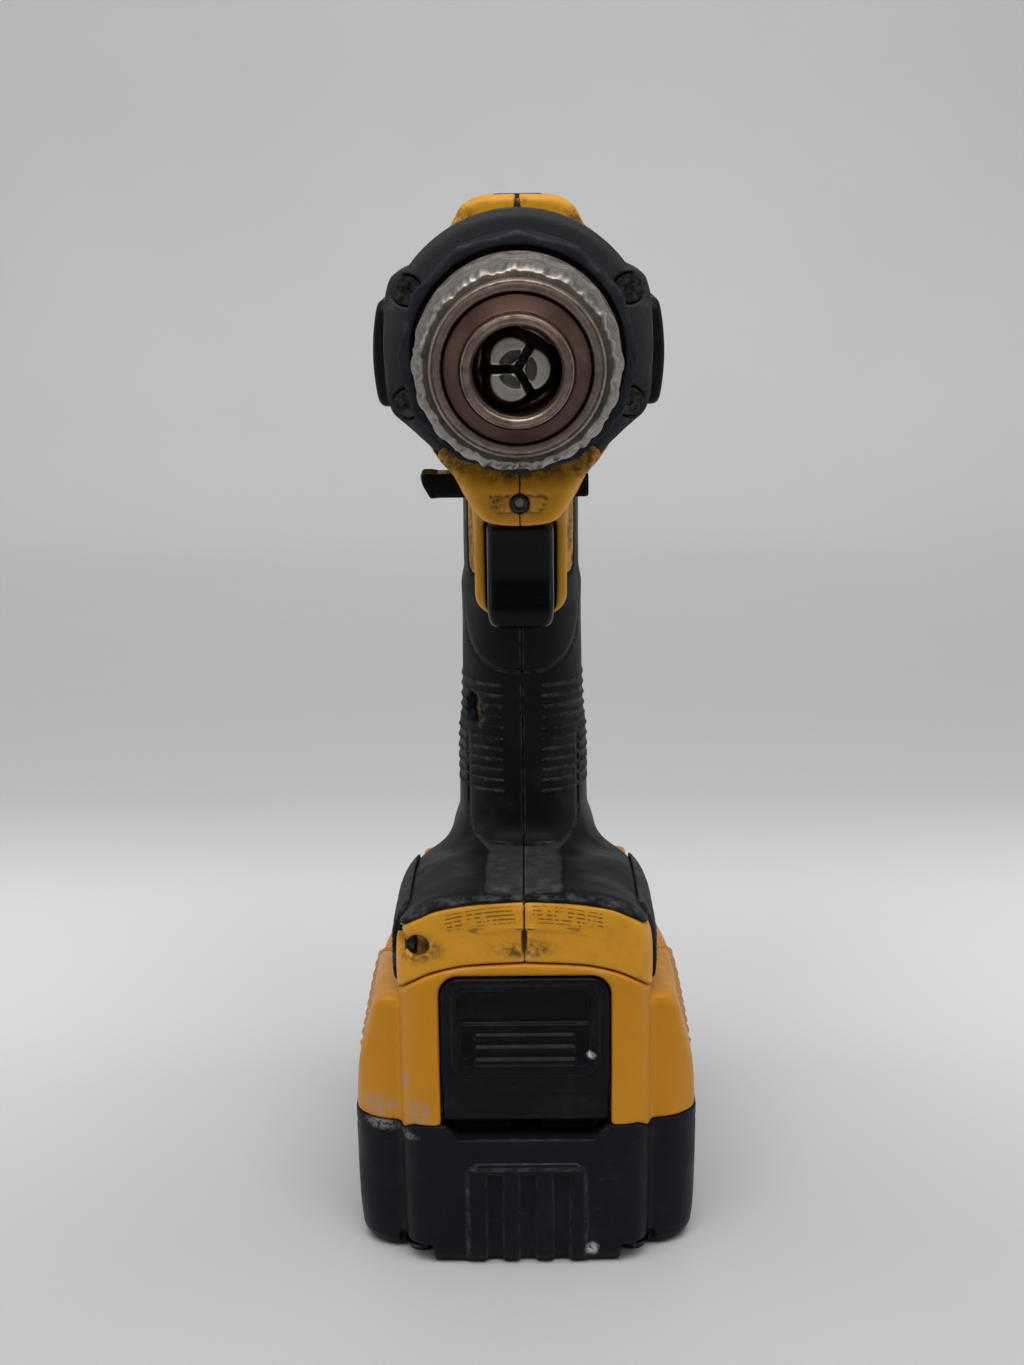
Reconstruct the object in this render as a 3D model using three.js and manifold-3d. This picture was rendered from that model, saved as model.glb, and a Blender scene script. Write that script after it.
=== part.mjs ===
// Cordless drill with a keyless chuck, a two-stage planetary gearbox and a slide-on battery pack.
// Units are millimetres. +Z is up, the chuck points along -Y, and +X is to the right of someone who
// looks at the chuck. The origin is on the ground under the middle of the whole tool.
import * as THREE from "three";
import { mergeVertices } from "three/addons/utils/BufferGeometryUtils.js";
import Module from "manifold-3d";

const wasm = await Module();
wasm.setup();

// ---------------------------------------------------------------- driving dimensions
const AXIS_HEIGHT = 204; // spindle axis above the ground
const GAP = 0.3; // clearance between neighbouring pieces
const WALL = 2.4; // moulded wall thickness

const NOSE_Y = -95; // front of the chuck
const CHUCK_BACK_Y = -52.6;
const JAW_TILT = 20; // degrees between a jaw's travel and the spindle axis
const JAW_RADIUS = 4;
const JAW_FRONT_Y = -89.5;
const JAW_LENGTH = 19.5;
const JAW_FRONT_OFFSET = 1.95; // jaw centre line from the spindle axis, at the jaw's front
const JAW_FACE_OFFSET = 0.8; // gripping face from the plane between two jaws
const SLEEVE_RADIUS = 20.4;

const COLLAR_RADIUS = 24;
const COLLAR_FRONT_Y = -57;
const COLLAR_BACK_Y = -34.2;
const GEAR_CASE_RADIUS = 28;
const GEAR_CASE_FRONT_Y = -33.8;
const GEAR_CASE_BACK_Y = -15;
const NECK_RADIUS = 15.8;
const CASE_BORE = 21.4;

const GEAR_MODULE = 1;
const SUN_TEETH = 12;
const PLANET_TEETH = 12;
const RING_TEETH = SUN_TEETH + 2 * PLANET_TEETH;
const ORBIT_RADIUS = (GEAR_MODULE * (SUN_TEETH + PLANET_TEETH)) / 2;
const BACKLASH = 0.3;

const HOUSING_FRONT_Y = GEAR_CASE_BACK_Y + GAP;
const HOUSING_BACK_Y = 95;
const BARREL_RADIUS = 27.7;
const HOUSING_TOP = 234.7;
const GRIP_SKIN = 2; // thickness of the soft overmould on the handle
const GRIP_TOP = 143.2;
const GRIP_CAP_BOTTOM = 79;
const FOOT_FRONT_Y = -43;
const FOOT_BOTTOM = 62.2;

const TRIGGER_HALF_WIDTH = 7.1;
const TRIGGER_BOTTOM = 143.8;
const TRIGGER_TOP = 166.7;
const TRIGGER_FRONT_Y = -38;
const LED_HEIGHT = 172.3;
const BUTTON_BOTTOM = 170;
const BUTTON_TOP = 175.5;

const PACK_HALF_WIDTH = 38.85;
const PACK_FRONT_Y = -36;
const PACK_BACK_Y = 76;
const PACK_PARTING = 32;
const PACK_TOP = 61.6;
const NOSE_HALF_WIDTH = 27.7;
const PACK_NOSE_Y = -43.4;
const LATCH_HALF_WIDTH = 18.6;
const LATCH_BOTTOM = 34.6;
const LATCH_TOP = 68.4;
const CELL_RADIUS = 9.1;
const CELL_LENGTH = 65;
const CELL_PITCH = 19.4;

// ---------------------------------------------------------------- materials
const finish = (color, roughness, metalness = 0) =>
  new THREE.MeshStandardMaterial({ color, roughness, metalness });
const YELLOW = finish(0xe39a16, 0.5);
const BLACK = finish(0x1b1d21, 0.6);
const GRIP = finish(0x24262a, 0.85);
const COLLAR_GREY = finish(0x3a3f47, 0.6);
const GLOSS_BLACK = finish(0x0d0e10, 0.25);
const STEEL = finish(0x8f8a82, 0.4, 1);
const DARK_STEEL = finish(0x4a4440, 0.45, 1);
const SPRING_STEEL = finish(0x9a9a98, 0.3, 1);
const COPPER = finish(0x9a5a32, 0.4, 1);
const NYLON = finish(0xc9c4b4, 0.6);
const CELL_BLUE = finish(0x2f6f8f, 0.5);
const LENS = finish(0xdfe6ea, 0.1);
const BOARD_GREEN = finish(0x1f4a2c, 0.6);

// ---------------------------------------------------------------- solids
// A closed geometry as a manifold solid with its faces outwards.
function solid(shape) {
  if (!shape.isBufferGeometry) return shape;
  const bare = shape.index ? shape.toNonIndexed() : shape.clone();
  bare.deleteAttribute("normal");
  bare.deleteAttribute("uv");
  const merged = mergeVertices(bare, 1e-4);
  const at = merged.attributes.position;
  const corner = [0, 1, 2].map(() => new THREE.Vector3());
  const triangles = [];
  let volume = 0;
  for (let i = 0; i < merged.index.count; i += 3) {
    const ids = [0, 1, 2].map((k) => merged.index.getX(i + k));
    if (new Set(ids).size < 3) continue;
    ids.forEach((id, k) => corner[k].fromBufferAttribute(at, id));
    volume += corner[0].dot(corner[1].clone().cross(corner[2]));
    triangles.push(ids);
  }
  const outward = volume > 0 ? triangles : triangles.map(([a, b, c]) => [a, c, b]);
  return new wasm.Manifold(
    new wasm.Mesh({
      numProp: 3,
      vertProperties: at.array,
      triVerts: new Uint32Array(outward.flat()),
    }),
  );
}

const join = (...parts) => parts.map(solid).reduce((a, b) => a.add(b));
const cut = (body, ...tools) => tools.map(solid).reduce((a, b) => a.subtract(b), solid(body));
const common = (...parts) => parts.map(solid).reduce((a, b) => a.intersect(b));

// A named mesh from a solid or a closed geometry.
function piece(group, name, shape, material) {
  const data = solid(shape).getMesh();
  const stride = data.numProp;
  const positions = new Float32Array(data.numVert * 3);
  for (let i = 0; i < data.numVert; i++) {
    positions.set(data.vertProperties.subarray(i * stride, i * stride + 3), i * 3);
  }
  const geometry = new THREE.BufferGeometry();
  geometry.setAttribute("position", new THREE.BufferAttribute(positions, 3));
  geometry.setIndex(new THREE.BufferAttribute(new Uint32Array(data.triVerts), 1));
  geometry.computeVertexNormals();
  const mesh = new THREE.Mesh(geometry, material);
  mesh.name = name;
  group.add(mesh);
  return mesh;
}

// ---------------------------------------------------------------- shapes
const box = (x0, x1, y0, y1, z0, z1) =>
  new THREE.BoxGeometry(x1 - x0, y1 - y0, z1 - z0).translate((x0 + x1) / 2, (y0 + y1) / 2, (z0 + z1) / 2);

// A round bar along Y.
const rod = (radius, y0, y1, sides = 20) =>
  new THREE.CylinderGeometry(radius, radius, y1 - y0, sides).translate(0, (y0 + y1) / 2, 0);

// A round bar along X, centred on the line (y, z).
const crossRod = (radius, x0, x1, y, z, sides = 16) =>
  new THREE.CylinderGeometry(radius, radius, x1 - x0, sides).rotateZ(Math.PI / 2).translate((x0 + x1) / 2, y, z);

// A solid of revolution about Y from a closed profile of [radius, y] corners.
const turned = (profile, sides = 28) =>
  new THREE.LatheGeometry(
    [...profile, profile[0]].map(([r, y]) => new THREE.Vector2(r, y)),
    sides,
  );

// A shape in X and Z pushed along Y.
function alongY(shape, y0, y1, curveSegments = 4) {
  const geometry = new THREE.ExtrudeGeometry(shape, { depth: y1 - y0, bevelEnabled: false, curveSegments });
  return geometry.rotateX(Math.PI / 2).translate(0, y1, 0);
}

// A shape in Y and Z pushed along X.
const alongX = (shape, x0, x1) => alongY(shape, -x1, -x0).rotateZ(Math.PI / 2);

// A shape in X and Y pushed up along Z.
const alongZ = (shape, z0, z1, curveSegments = 4) =>
  new THREE.ExtrudeGeometry(shape, { depth: z1 - z0, bevelEnabled: false, curveSegments }).translate(0, 0, z0);

const polygon = (corners) => new THREE.Shape(corners.map(([x, y]) => new THREE.Vector2(x, y)));

function roundedRectangle(x0, x1, y0, y1, r) {
  const shape = new THREE.Shape();
  shape.moveTo(x0 + r, y0);
  shape.lineTo(x1 - r, y0);
  shape.absarc(x1 - r, y0 + r, r, -Math.PI / 2, 0);
  shape.lineTo(x1, y1 - r);
  shape.absarc(x1 - r, y1 - r, r, 0, Math.PI / 2);
  shape.lineTo(x0 + r, y1);
  shape.absarc(x0 + r, y1 - r, r, Math.PI / 2, Math.PI);
  shape.lineTo(x0, y0 + r);
  shape.absarc(x0 + r, y0 + r, r, Math.PI, 1.5 * Math.PI);
  return shape;
}

// Points of a superellipse, in the plane of the section.
function superellipse(halfWidth, low, high, squareness, count = 20) {
  const middle = (low + high) / 2;
  const half = (high - low) / 2;
  const bend = (value) => Math.sign(value) * Math.abs(value) ** (2 / squareness);
  return Array.from({ length: count }, (_, i) => {
    const angle = (2 * Math.PI * (i + 0.5)) / count;
    return [halfWidth * bend(Math.cos(angle)), middle + half * bend(Math.sin(angle))];
  });
}

// A skin over rings of 3-D points, closed at both ends by fans.
function loft(rings) {
  const count = rings[0].length;
  const middles = [rings[0], rings.at(-1)].map((ring) =>
    ring.reduce((sum, p) => sum.map((v, k) => v + p[k] / count), [0, 0, 0]),
  );
  const positions = [...rings.flat(), ...middles].flat();
  const index = [];
  for (let j = 0; j < rings.length - 1; j++) {
    for (let i = 0; i < count; i++) {
      const a = j * count + i;
      const b = j * count + ((i + 1) % count);
      index.push(a, b, b + count, a, b + count, a + count);
    }
  }
  const last = (rings.length - 1) * count;
  const first = rings.length * count;
  for (let i = 0; i < count; i++) {
    const next = (i + 1) % count;
    index.push(first, next, i);
    index.push(first + 1, last + i, last + next);
  }
  const geometry = new THREE.BufferGeometry();
  geometry.setAttribute("position", new THREE.Float32BufferAttribute(positions, 3));
  geometry.setIndex(index);
  return geometry;
}

// Sections listed from low to high: [z, half width, front y, back y, squareness].
const loftUp = (sections, inset = 0) =>
  loft(
    sections.map(([z, halfWidth, front, back, squareness]) =>
      superellipse(halfWidth - inset, front + inset, back - inset, squareness).map(([x, y]) => [x, y, z]),
    ),
  );

// Sections listed from front to back: [y, half width, low z, high z, squareness].
const loftBack = (sections, inset = 0) =>
  loft(
    sections.map(([y, halfWidth, low, high, squareness]) =>
      superellipse(halfWidth - inset, low + inset, high - inset, squareness).map(([x, z]) => [x, y, z]),
    ),
  );

// A helical spring of round wire about Z, from z0 to z1.
function coil(radius, wire, turns, z0, z1, steps = 8) {
  const points = Array.from({ length: turns * steps + 1 }, (_, i) => {
    const angle = (2 * Math.PI * i) / steps;
    const height = z0 + wire + ((z1 - z0 - 2 * wire) * i) / (turns * steps);
    return new THREE.Vector3(radius * Math.cos(angle), radius * Math.sin(angle), height);
  });
  const section = polygon(
    Array.from({ length: 5 }, (_, i) => {
      const angle = (2 * Math.PI * i) / 5;
      return [wire * Math.cos(angle), wire * Math.sin(angle)];
    }),
  );
  const extrudePath = new THREE.CatmullRomCurve3(points);
  return new THREE.ExtrudeGeometry(section, { steps: turns * steps, bevelEnabled: false, extrudePath });
}

// A countersunk machine screw along Y with its head at the front, starting at y = 0.
const screwShape = (headRadius, headDepth, shankRadius, length) =>
  cut(
    turned(
      [
        [0, 0],
        [headRadius, 0],
        [headRadius, headDepth],
        [shankRadius, headDepth],
        [shankRadius, length - 1],
        [shankRadius - 0.8, length],
        [0, length],
      ],
      12,
    ),
    new THREE.CylinderGeometry(1.1, 1.1, 2, 6),
  );

// ---------------------------------------------------------------- gears
// Outline of an involute gear. For a ring gear it is the outline of the hole, whose spaces take the place of teeth.
function gearOutline(teeth, addendum, dedendum, toothWidth, phase) {
  const pressure = THREE.MathUtils.degToRad(25);
  const pitch = (GEAR_MODULE * teeth) / 2;
  const base = pitch * Math.cos(pressure);
  const tip = pitch + addendum;
  const root = pitch - dedendum;
  const involute = (angle) => Math.tan(angle) - angle;
  const halfAngle = (radius) => {
    const slope = radius > base ? Math.acos(base / radius) : 0;
    return toothWidth / (2 * pitch) + involute(pressure) - involute(slope);
  };
  const radii = [root, tip];
  const corners = [];
  for (let tooth = 0; tooth < teeth; tooth++) {
    const middle = phase + (2 * Math.PI * tooth) / teeth;
    const flank = (radius, side) => {
      const angle = middle + side * halfAngle(radius);
      return [radius * Math.cos(angle), radius * Math.sin(angle)];
    };
    radii.forEach((radius) => corners.push(flank(radius, -1)));
    radii.toReversed().forEach((radius) => corners.push(flank(radius, 1)));
  }
  return polygon(corners);
}

const TOOTH_WIDTH = (Math.PI * GEAR_MODULE) / 2;
const externalGear = (teeth, phase) =>
  gearOutline(teeth, 0.85 * GEAR_MODULE, 1.15 * GEAR_MODULE, TOOTH_WIDTH - BACKLASH / 2, phase);
const ringHole = () =>
  gearOutline(RING_TEETH, 1.15 * GEAR_MODULE, 0.85 * GEAR_MODULE, TOOTH_WIDTH + BACKLASH / 2, Math.PI / RING_TEETH);

const hole = (radius) => new THREE.Path().absarc(0, 0, radius, 0, 2 * Math.PI, true);
const PLANET_ANGLES = [90, 210, 330].map(THREE.MathUtils.degToRad);

function planetGear() {
  const outline = externalGear(PLANET_TEETH, Math.PI / PLANET_TEETH);
  outline.holes.push(hole(2.3));
  return alongY(outline, 0, 7);
}

// A carrier plate whose three pins point back, from y = 0 at the plate's front.
function carrierPlate() {
  const pins = PLANET_ANGLES.map((angle) =>
    rod(2, 2.5, 10.4, 12).translate(ORBIT_RADIUS * Math.cos(angle), 0, ORBIT_RADIUS * Math.sin(angle)),
  );
  return join(rod(15, 0, 2.9, 32), ...pins);
}

// ---------------------------------------------------------------- scene graph
const drill = new THREE.Group();
const onAxis = new THREE.Group(); // everything that is round about the spindle
onAxis.position.z = AXIS_HEIGHT;
const pack = new THREE.Group(); // battery pack
drill.add(onAxis, pack);

// ---------------------------------------------------------------- chuck
const jawOffset = (y) => JAW_FRONT_OFFSET + (y - JAW_FRONT_Y) * Math.tan(THREE.MathUtils.degToRad(JAW_TILT));
const JAW_REACH = JAW_RADIUS / Math.cos(THREE.MathUtils.degToRad(JAW_TILT)); // its radius across the tilt

// The tilted round bar that a jaw is cut from, or its bore.
function jawBar(radius, length) {
  const tilt = THREE.MathUtils.degToRad(JAW_TILT);
  const middle = JAW_FRONT_Y + JAW_LENGTH / 2;
  return new THREE.CylinderGeometry(radius, radius, length, 16).rotateZ(-tilt).translate(jawOffset(middle), middle, 0);
}

function jaw() {
  const apex = JAW_FACE_OFFSET / Math.sin(Math.PI / 3);
  const wedge = polygon([
    [apex, 0],
    [apex + 15, -15 * Math.tan(Math.PI / 3)],
    [apex + 30, 0],
    [apex + 15, 15 * Math.tan(Math.PI / 3)],
  ]);
  return common(jawBar(JAW_RADIUS, 60), alongY(wedge, JAW_FRONT_Y, JAW_FRONT_Y + JAW_LENGTH));
}

const SPINDLE_FRONT_Y = -65.6;
const NUT_FRONT_Y = -80;
const NUT_BACK_Y = -75;
const NUT_RADIUS = 15.5;
const nutBore = (y) => jawOffset(y) + JAW_REACH + GAP;

function chuckBody() {
  const blank = turned([
    [0, NOSE_Y + 0.4],
    [9.6, NOSE_Y + 0.4],
    [9.8, NOSE_Y],
    [10.6, NOSE_Y],
    [10.9, NOSE_Y + 0.8],
    [13.8, NOSE_Y + 5.4],
    [13.8, NUT_FRONT_Y - GAP],
    [nutBore(NUT_FRONT_Y) - GAP, NUT_FRONT_Y - GAP],
    [nutBore(NUT_BACK_Y) - GAP, NUT_BACK_Y + GAP],
    [15.2, NUT_BACK_Y + GAP],
    [15.2, CHUCK_BACK_Y - 1.5],
    [19, CHUCK_BACK_Y - 1.5],
    [19, CHUCK_BACK_Y],
    [0, CHUCK_BACK_Y],
  ]);
  const bores = [0, 1, 2].map((k) => jawBar(JAW_RADIUS + GAP, 60).rotateY((-k * 2 * Math.PI) / 3));
  const mouth = rod(8.8, NOSE_Y - 1, -84, 28);
  const bitBore = rod(6.8, -85, -73);
  const screwHole = rod(3.3, -74, SPINDLE_FRONT_Y);
  const headSeat = rod(3.9, -74, -70.5);
  const spindleThread = rod(6.3, SPINDLE_FRONT_Y - 0.4, CHUCK_BACK_Y + 1);
  const rearStop = rod(20, CHUCK_BACK_Y - 1.5, CHUCK_BACK_Y + 1);
  const flange = common(blank, rearStop);
  return cut(join(cut(blank, ...bores), flange), mouth, bitBore, headSeat, screwHole, spindleThread);
}

function chuckSleeve() {
  const shell = turned(
    [
      [14.1, -88.6],
      [16.6, -88.2],
      [17.4, -87],
      [18.6, -85.6],
      [SLEEVE_RADIUS, -80],
      [SLEEVE_RADIUS, -58],
      [19.9, -53.2],
      [19.3, -53.2],
      [19.3, NUT_BACK_Y + 1],
      [NUT_RADIUS + GAP, NUT_BACK_Y + 1],
      [NUT_RADIUS + GAP, NUT_FRONT_Y - GAP],
      [14.1, NUT_FRONT_Y - GAP],
    ],
    36,
  );
  const flutes = Array.from({ length: 12 }, (_, i) =>
    rod(1.6, -86, -60, 6)
      .translate(SLEEVE_RADIUS + 1, 0, 0)
      .rotateY((i * Math.PI) / 6),
  );
  return cut(shell, ...flutes);
}

piece(onAxis, "chuck_body", chuckBody(), DARK_STEEL);
piece(onAxis, "chuck_sleeve", chuckSleeve(), STEEL);
piece(
  onAxis,
  "chuck_nut",
  turned([
    [nutBore(NUT_FRONT_Y), NUT_FRONT_Y],
    [NUT_RADIUS, NUT_FRONT_Y],
    [NUT_RADIUS, NUT_BACK_Y],
    [nutBore(NUT_BACK_Y), NUT_BACK_Y],
  ]),
  DARK_STEEL,
);
for (let k = 0; k < 3; k++) {
  piece(onAxis, `jaw_${k + 1}`, jaw(), STEEL).rotation.y = (-k * 2 * Math.PI) / 3;
}
piece(onAxis, "chuck_screw", screwShape(3.6, 2, 2.8, 12), DARK_STEEL).position.y = -72.5;

// ---------------------------------------------------------------- spindle, bearing and clutch
const CARRIER_2_Y = -31.5;
const CARRIER_1_Y = -20.2;
const STAGE_OFFSET = 3.6; // from a carrier's front to its planets' front
piece(
  onAxis,
  "spindle",
  cut(
    turned([
      [0, SPINDLE_FRONT_Y],
      [6, SPINDLE_FRONT_Y],
      [6, -52],
      [8, -52],
      [8, -41],
      [6.5, -41],
      [6.5, CARRIER_2_Y - GAP],
      [0, CARRIER_2_Y - GAP],
    ]),
    rod(3.1, SPINDLE_FRONT_Y - 1, -59, 16),
  ),
  STEEL,
);
piece(
  onAxis,
  "front_bearing",
  turned([
    [8 + GAP, -50],
    [13, -50],
    [13, -42],
    [8 + GAP, -42],
  ]),
  SPRING_STEEL,
);

function clutchCollar() {
  const ring = turned(
    [
      [21.4, COLLAR_FRONT_Y],
      [22.9, COLLAR_FRONT_Y],
      [COLLAR_RADIUS, COLLAR_FRONT_Y + 1.6],
      [COLLAR_RADIUS, COLLAR_BACK_Y - 1],
      [23.2, COLLAR_BACK_Y],
      [19.8, COLLAR_BACK_Y],
      [19.8, -48],
      [NECK_RADIUS + GAP, -48],
      [NECK_RADIUS + GAP, -50.5],
      [21.4, -50.5],
    ],
    36,
  );
  const flats = Array.from({ length: 12 }, (_, i) =>
    rod(1.7, COLLAR_FRONT_Y - 1, COLLAR_BACK_Y - 4, 6)
      .translate(COLLAR_RADIUS + 0.9, 0, 0)
      .rotateY((i * Math.PI) / 6),
  );
  return cut(ring, ...flats);
}

piece(onAxis, "clutch_collar", clutchCollar(), COLLAR_GREY);
piece(
  onAxis,
  "clutch_spring",
  coil(18, 0.8, 3, 0, 8.4, 14)
    .rotateX(Math.PI / 2)
    .translate(0, -39, 0),
  SPRING_STEEL,
);
piece(
  onAxis,
  "clutch_plate",
  turned([
    [NECK_RADIUS + GAP, -38.5],
    [19.4, -38.5],
    [19.4, -37],
    [NECK_RADIUS + GAP, -37],
  ]),
  SPRING_STEEL,
);

// ---------------------------------------------------------------- gear case and gears
const CASE_SCREWS = [
  [-23, 11.6],
  [23, 11.6],
  [-23, -11.6],
  [23, -11.6],
];
// Ears that carry the screws, about the spindle axis.
const CASE_EARS = polygon([
  [-13.6, -24.2],
  [13.6, -24.2],
  [24.4, -16.2],
  [26.6, -14.2],
  [28, -9.5],
  [28, 9.5],
  [26.6, 14.2],
  [24, 16],
  [-24, 16],
  [-26.6, 14.2],
  [-28, 9.5],
  [-28, -9.5],
  [-26.6, -14.2],
  [-24.4, -16.2],
]);

function gearCase() {
  const flange = join(
    turned([
      [0, GEAR_CASE_FRONT_Y],
      [GEAR_CASE_RADIUS - 1.4, GEAR_CASE_FRONT_Y],
      [GEAR_CASE_RADIUS, GEAR_CASE_FRONT_Y + 2],
      [GEAR_CASE_RADIUS, GEAR_CASE_BACK_Y],
      [0, GEAR_CASE_BACK_Y],
    ]),
    alongY(CASE_EARS, GEAR_CASE_FRONT_Y + 1, GEAR_CASE_BACK_Y),
  );
  const neck = rod(NECK_RADIUS, -50.2, -30, 28);
  const spigot = rod(24.6, GEAR_CASE_BACK_Y - 1, -8, 28);
  const screwHoles = CASE_SCREWS.flatMap(([x, z]) => [
    rod(1.9, -40, -5, 12).translate(x, 0, z),
    rod(3.3, -40, -31.4, 12).translate(x, 0, z),
  ]);
  const forkSlot = box(-3.2, 3.2, -30.6, -7, 18, 27);
  return cut(
    join(flange, neck, spigot),
    rod(CASE_BORE, -31.8, -5, 32),
    rod(13 + GAP, -50.3, -41.8, 28),
    rod(9.2, -60, -30, 20),
    forkSlot,
    ...screwHoles,
  );
}

function ringGear(y0, y1, grooved) {
  const outline = new THREE.Shape().absarc(0, 0, CASE_BORE - GAP, 0, 2 * Math.PI);
  outline.holes.push(ringHole());
  const ring = solid(alongY(outline, y0, y1, 16));
  if (!grooved) return ring;
  const middle = (y0 + y1) / 2;
  const groove = turned([
    [CASE_BORE - 1.5, middle - 1.2],
    [CASE_BORE + 1, middle - 1.2],
    [CASE_BORE + 1, middle + 1.2],
    [CASE_BORE - 1.5, middle + 1.2],
  ]);
  return cut(ring, groove);
}

piece(onAxis, "gear_case", gearCase(), BLACK);
const caseScrew = screwShape(3, 2.2, 1.6, 22);
CASE_SCREWS.forEach(([x, z], i) => {
  piece(onAxis, `gear_case_screw_${i + 1}`, caseScrew, DARK_STEEL).position.set(x, -33.7, z);
});
const RING_2_Y = [-25.6, -18];
const FORK_Y = (RING_2_Y[0] + RING_2_Y[1]) / 2; // the selector's fork runs in a groove round this ring gear
piece(onAxis, "ring_gear_1", ringGear(-17, -9), STEEL);
piece(onAxis, "ring_gear_2", ringGear(...RING_2_Y, true), STEEL);
piece(
  onAxis,
  "carrier_1",
  join(carrierPlate().translate([0, CARRIER_1_Y, 0]), alongY(externalGear(SUN_TEETH, 0), -27.5, CARRIER_1_Y + 1)),
  DARK_STEEL,
);
piece(onAxis, "carrier_2", carrierPlate().translate([0, CARRIER_2_Y, 0]), DARK_STEEL);
[CARRIER_1_Y, CARRIER_2_Y].forEach((plate, stage) => {
  PLANET_ANGLES.forEach((angle, k) => {
    const planet = piece(onAxis, `planet_gear_${3 * stage + k + 1}`, planetGear(), STEEL);
    planet.rotation.y = -angle;
    planet.position.set(ORBIT_RADIUS * Math.cos(angle), plate + STAGE_OFFSET, ORBIT_RADIUS * Math.sin(angle));
  });
});

// ---------------------------------------------------------------- motor
const SHAFT_RADIUS = 2.5;
const pinionOutline = externalGear(SUN_TEETH, 0);
pinionOutline.holes.push(hole(SHAFT_RADIUS + GAP));
piece(onAxis, "motor_pinion", alongY(pinionOutline, -16.6, -8.2), STEEL);
piece(
  onAxis,
  "motor_armature",
  join(rod(SHAFT_RADIUS, -16.6, 69, 16), rod(18.4, 2, 38, 28), rod(16, 38, 44), rod(8, 43, 52)),
  COPPER,
);
piece(
  onAxis,
  "motor_can",
  cut(
    rod(22.6, -5, 57, 32),
    rod(20.4, -2.6, 54.6, 32),
    rod(3.2, -10, 0, 16),
    rod(6.8, 50, 60, 16),
    ...[0, 1, 2, 3].map((k) => box(9, 17, 50, 60, -3, 3).rotateY((k * Math.PI) / 2)),
  ),
  SPRING_STEEL,
);
piece(
  onAxis,
  "rear_bearing",
  turned([
    [SHAFT_RADIUS + GAP, 54],
    [6.5, 54],
    [6.5, 59],
    [SHAFT_RADIUS + GAP, 59],
  ]),
  SPRING_STEEL,
);
piece(
  onAxis,
  "motor_fan",
  cut(
    join(
      rod(20, 67.4, 69, 28),
      rod(5, 61, 69, 16),
      ...Array.from({ length: 9 }, (_, i) => box(4, 19.5, 61, 68, -0.6, 0.6).rotateY((i * 2 * Math.PI) / 9)),
    ),
    rod(SHAFT_RADIUS + GAP, 60, 70, 16),
  ),
  NYLON,
);

// ---------------------------------------------------------------- housing
// Handle from the foot up into the barrel: [z, half width, front y, back y, squareness].
const HANDLE = [
  [70, 20, -12, 46, 2.6],
  [86, 16.4, -6, 39, 2.6],
  [96, 15, -4.6, 36.5, 2.5],
  [128, 14, -6, 35, 2.5],
  [143, 13.9, -8, 35.5, 2.5],
  [152, 13.2, -12, 37, 2.7],
  [166, 13.2, -14, 41, 2.7],
  [180, 18.4, -14.6, 53, 2.7],
  [200, 26, -14.6, 70, 2.4],
];
// Foot over the battery: [y, half width, low z, high z, squareness].
const FOOT = [
  [FOOT_FRONT_Y, 27.4, 52, 86, 4],
  [FOOT_FRONT_Y + 2, 28.4, 52, 87, 4],
  [-15, 28.4, 52, 87.2, 3.2],
  [0, 28, 52, 85.8, 3],
  [15, 27, 52, 82.4, 2.9],
  [31, 25.2, 52, 77.4, 2.9],
  [45, 22.4, 52, 74.8, 3],
  [60, 20, 52, 73.2, 3.2],
  [66, 18.6, 52, 72.4, 3.2],
];
// Light housing under the collar, as it looks from the front and from the side.
const CHIN_FRONT_VIEW = polygon([
  [-7.2, 167.5],
  [7.2, 167.5],
  [8.5, 169.4],
  [11.2, 174],
  [12.7, 176.7],
  [16.4, 180.7],
  [17.6, 183.4],
  [17.6, 190],
  [-17.6, 190],
  [-17.6, 183.4],
  [-16.4, 180.7],
  [-12.7, 176.7],
  [-11.2, 174],
  [-8.5, 169.4],
]);
const CHIN_SIDE_VIEW = polygon([
  [FOOT_FRONT_Y, 166],
  [-8, 166],
  [-8, 190],
  [-33, 190],
  [-37, 184],
  [-41.4, 179],
  [FOOT_FRONT_Y, 176],
]);
// Raised back over the gear selector: [y, half width, low z, high z, squareness].
const HUMP = [
  [HOUSING_FRONT_Y, 14.8, 200, HOUSING_TOP - 0.6, 3.8],
  [HOUSING_FRONT_Y + 2, 15.2, 200, HOUSING_TOP, 3.8],
  [30, 15.4, 200, HOUSING_TOP, 3.8],
  [52, 14.4, 200, HOUSING_TOP - 2.4, 3.4],
  [66, 12, 200, HOUSING_TOP - 6, 3],
];
const BARREL = [
  [0, HOUSING_FRONT_Y],
  [BARREL_RADIUS - 0.5, HOUSING_FRONT_Y],
  [BARREL_RADIUS, 4],
  [BARREL_RADIUS, 62],
  [BARREL_RADIUS - 1, 78],
  [BARREL_RADIUS - 3, 88],
  [BARREL_RADIUS - 7, 93.4],
  [BARREL_RADIUS - 12, HOUSING_BACK_Y],
  [0, HOUSING_BACK_Y],
];
const onTheAxis = (geometry) => geometry.translate(0, 0, AXIS_HEIGHT);

const barrel = onTheAxis(turned(BARREL, 32));
const footArch = common(loftBack(FOOT), box(-40, 40, -60, 90, FOOT_BOTTOM, 100));
const chin = common(alongY(CHIN_FRONT_VIEW, FOOT_FRONT_Y, -8), alongX(CHIN_SIDE_VIEW, -20, 20));
const outerShape = join(barrel, loftUp(HANDLE), chin, loftBack(HUMP), footArch);

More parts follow.
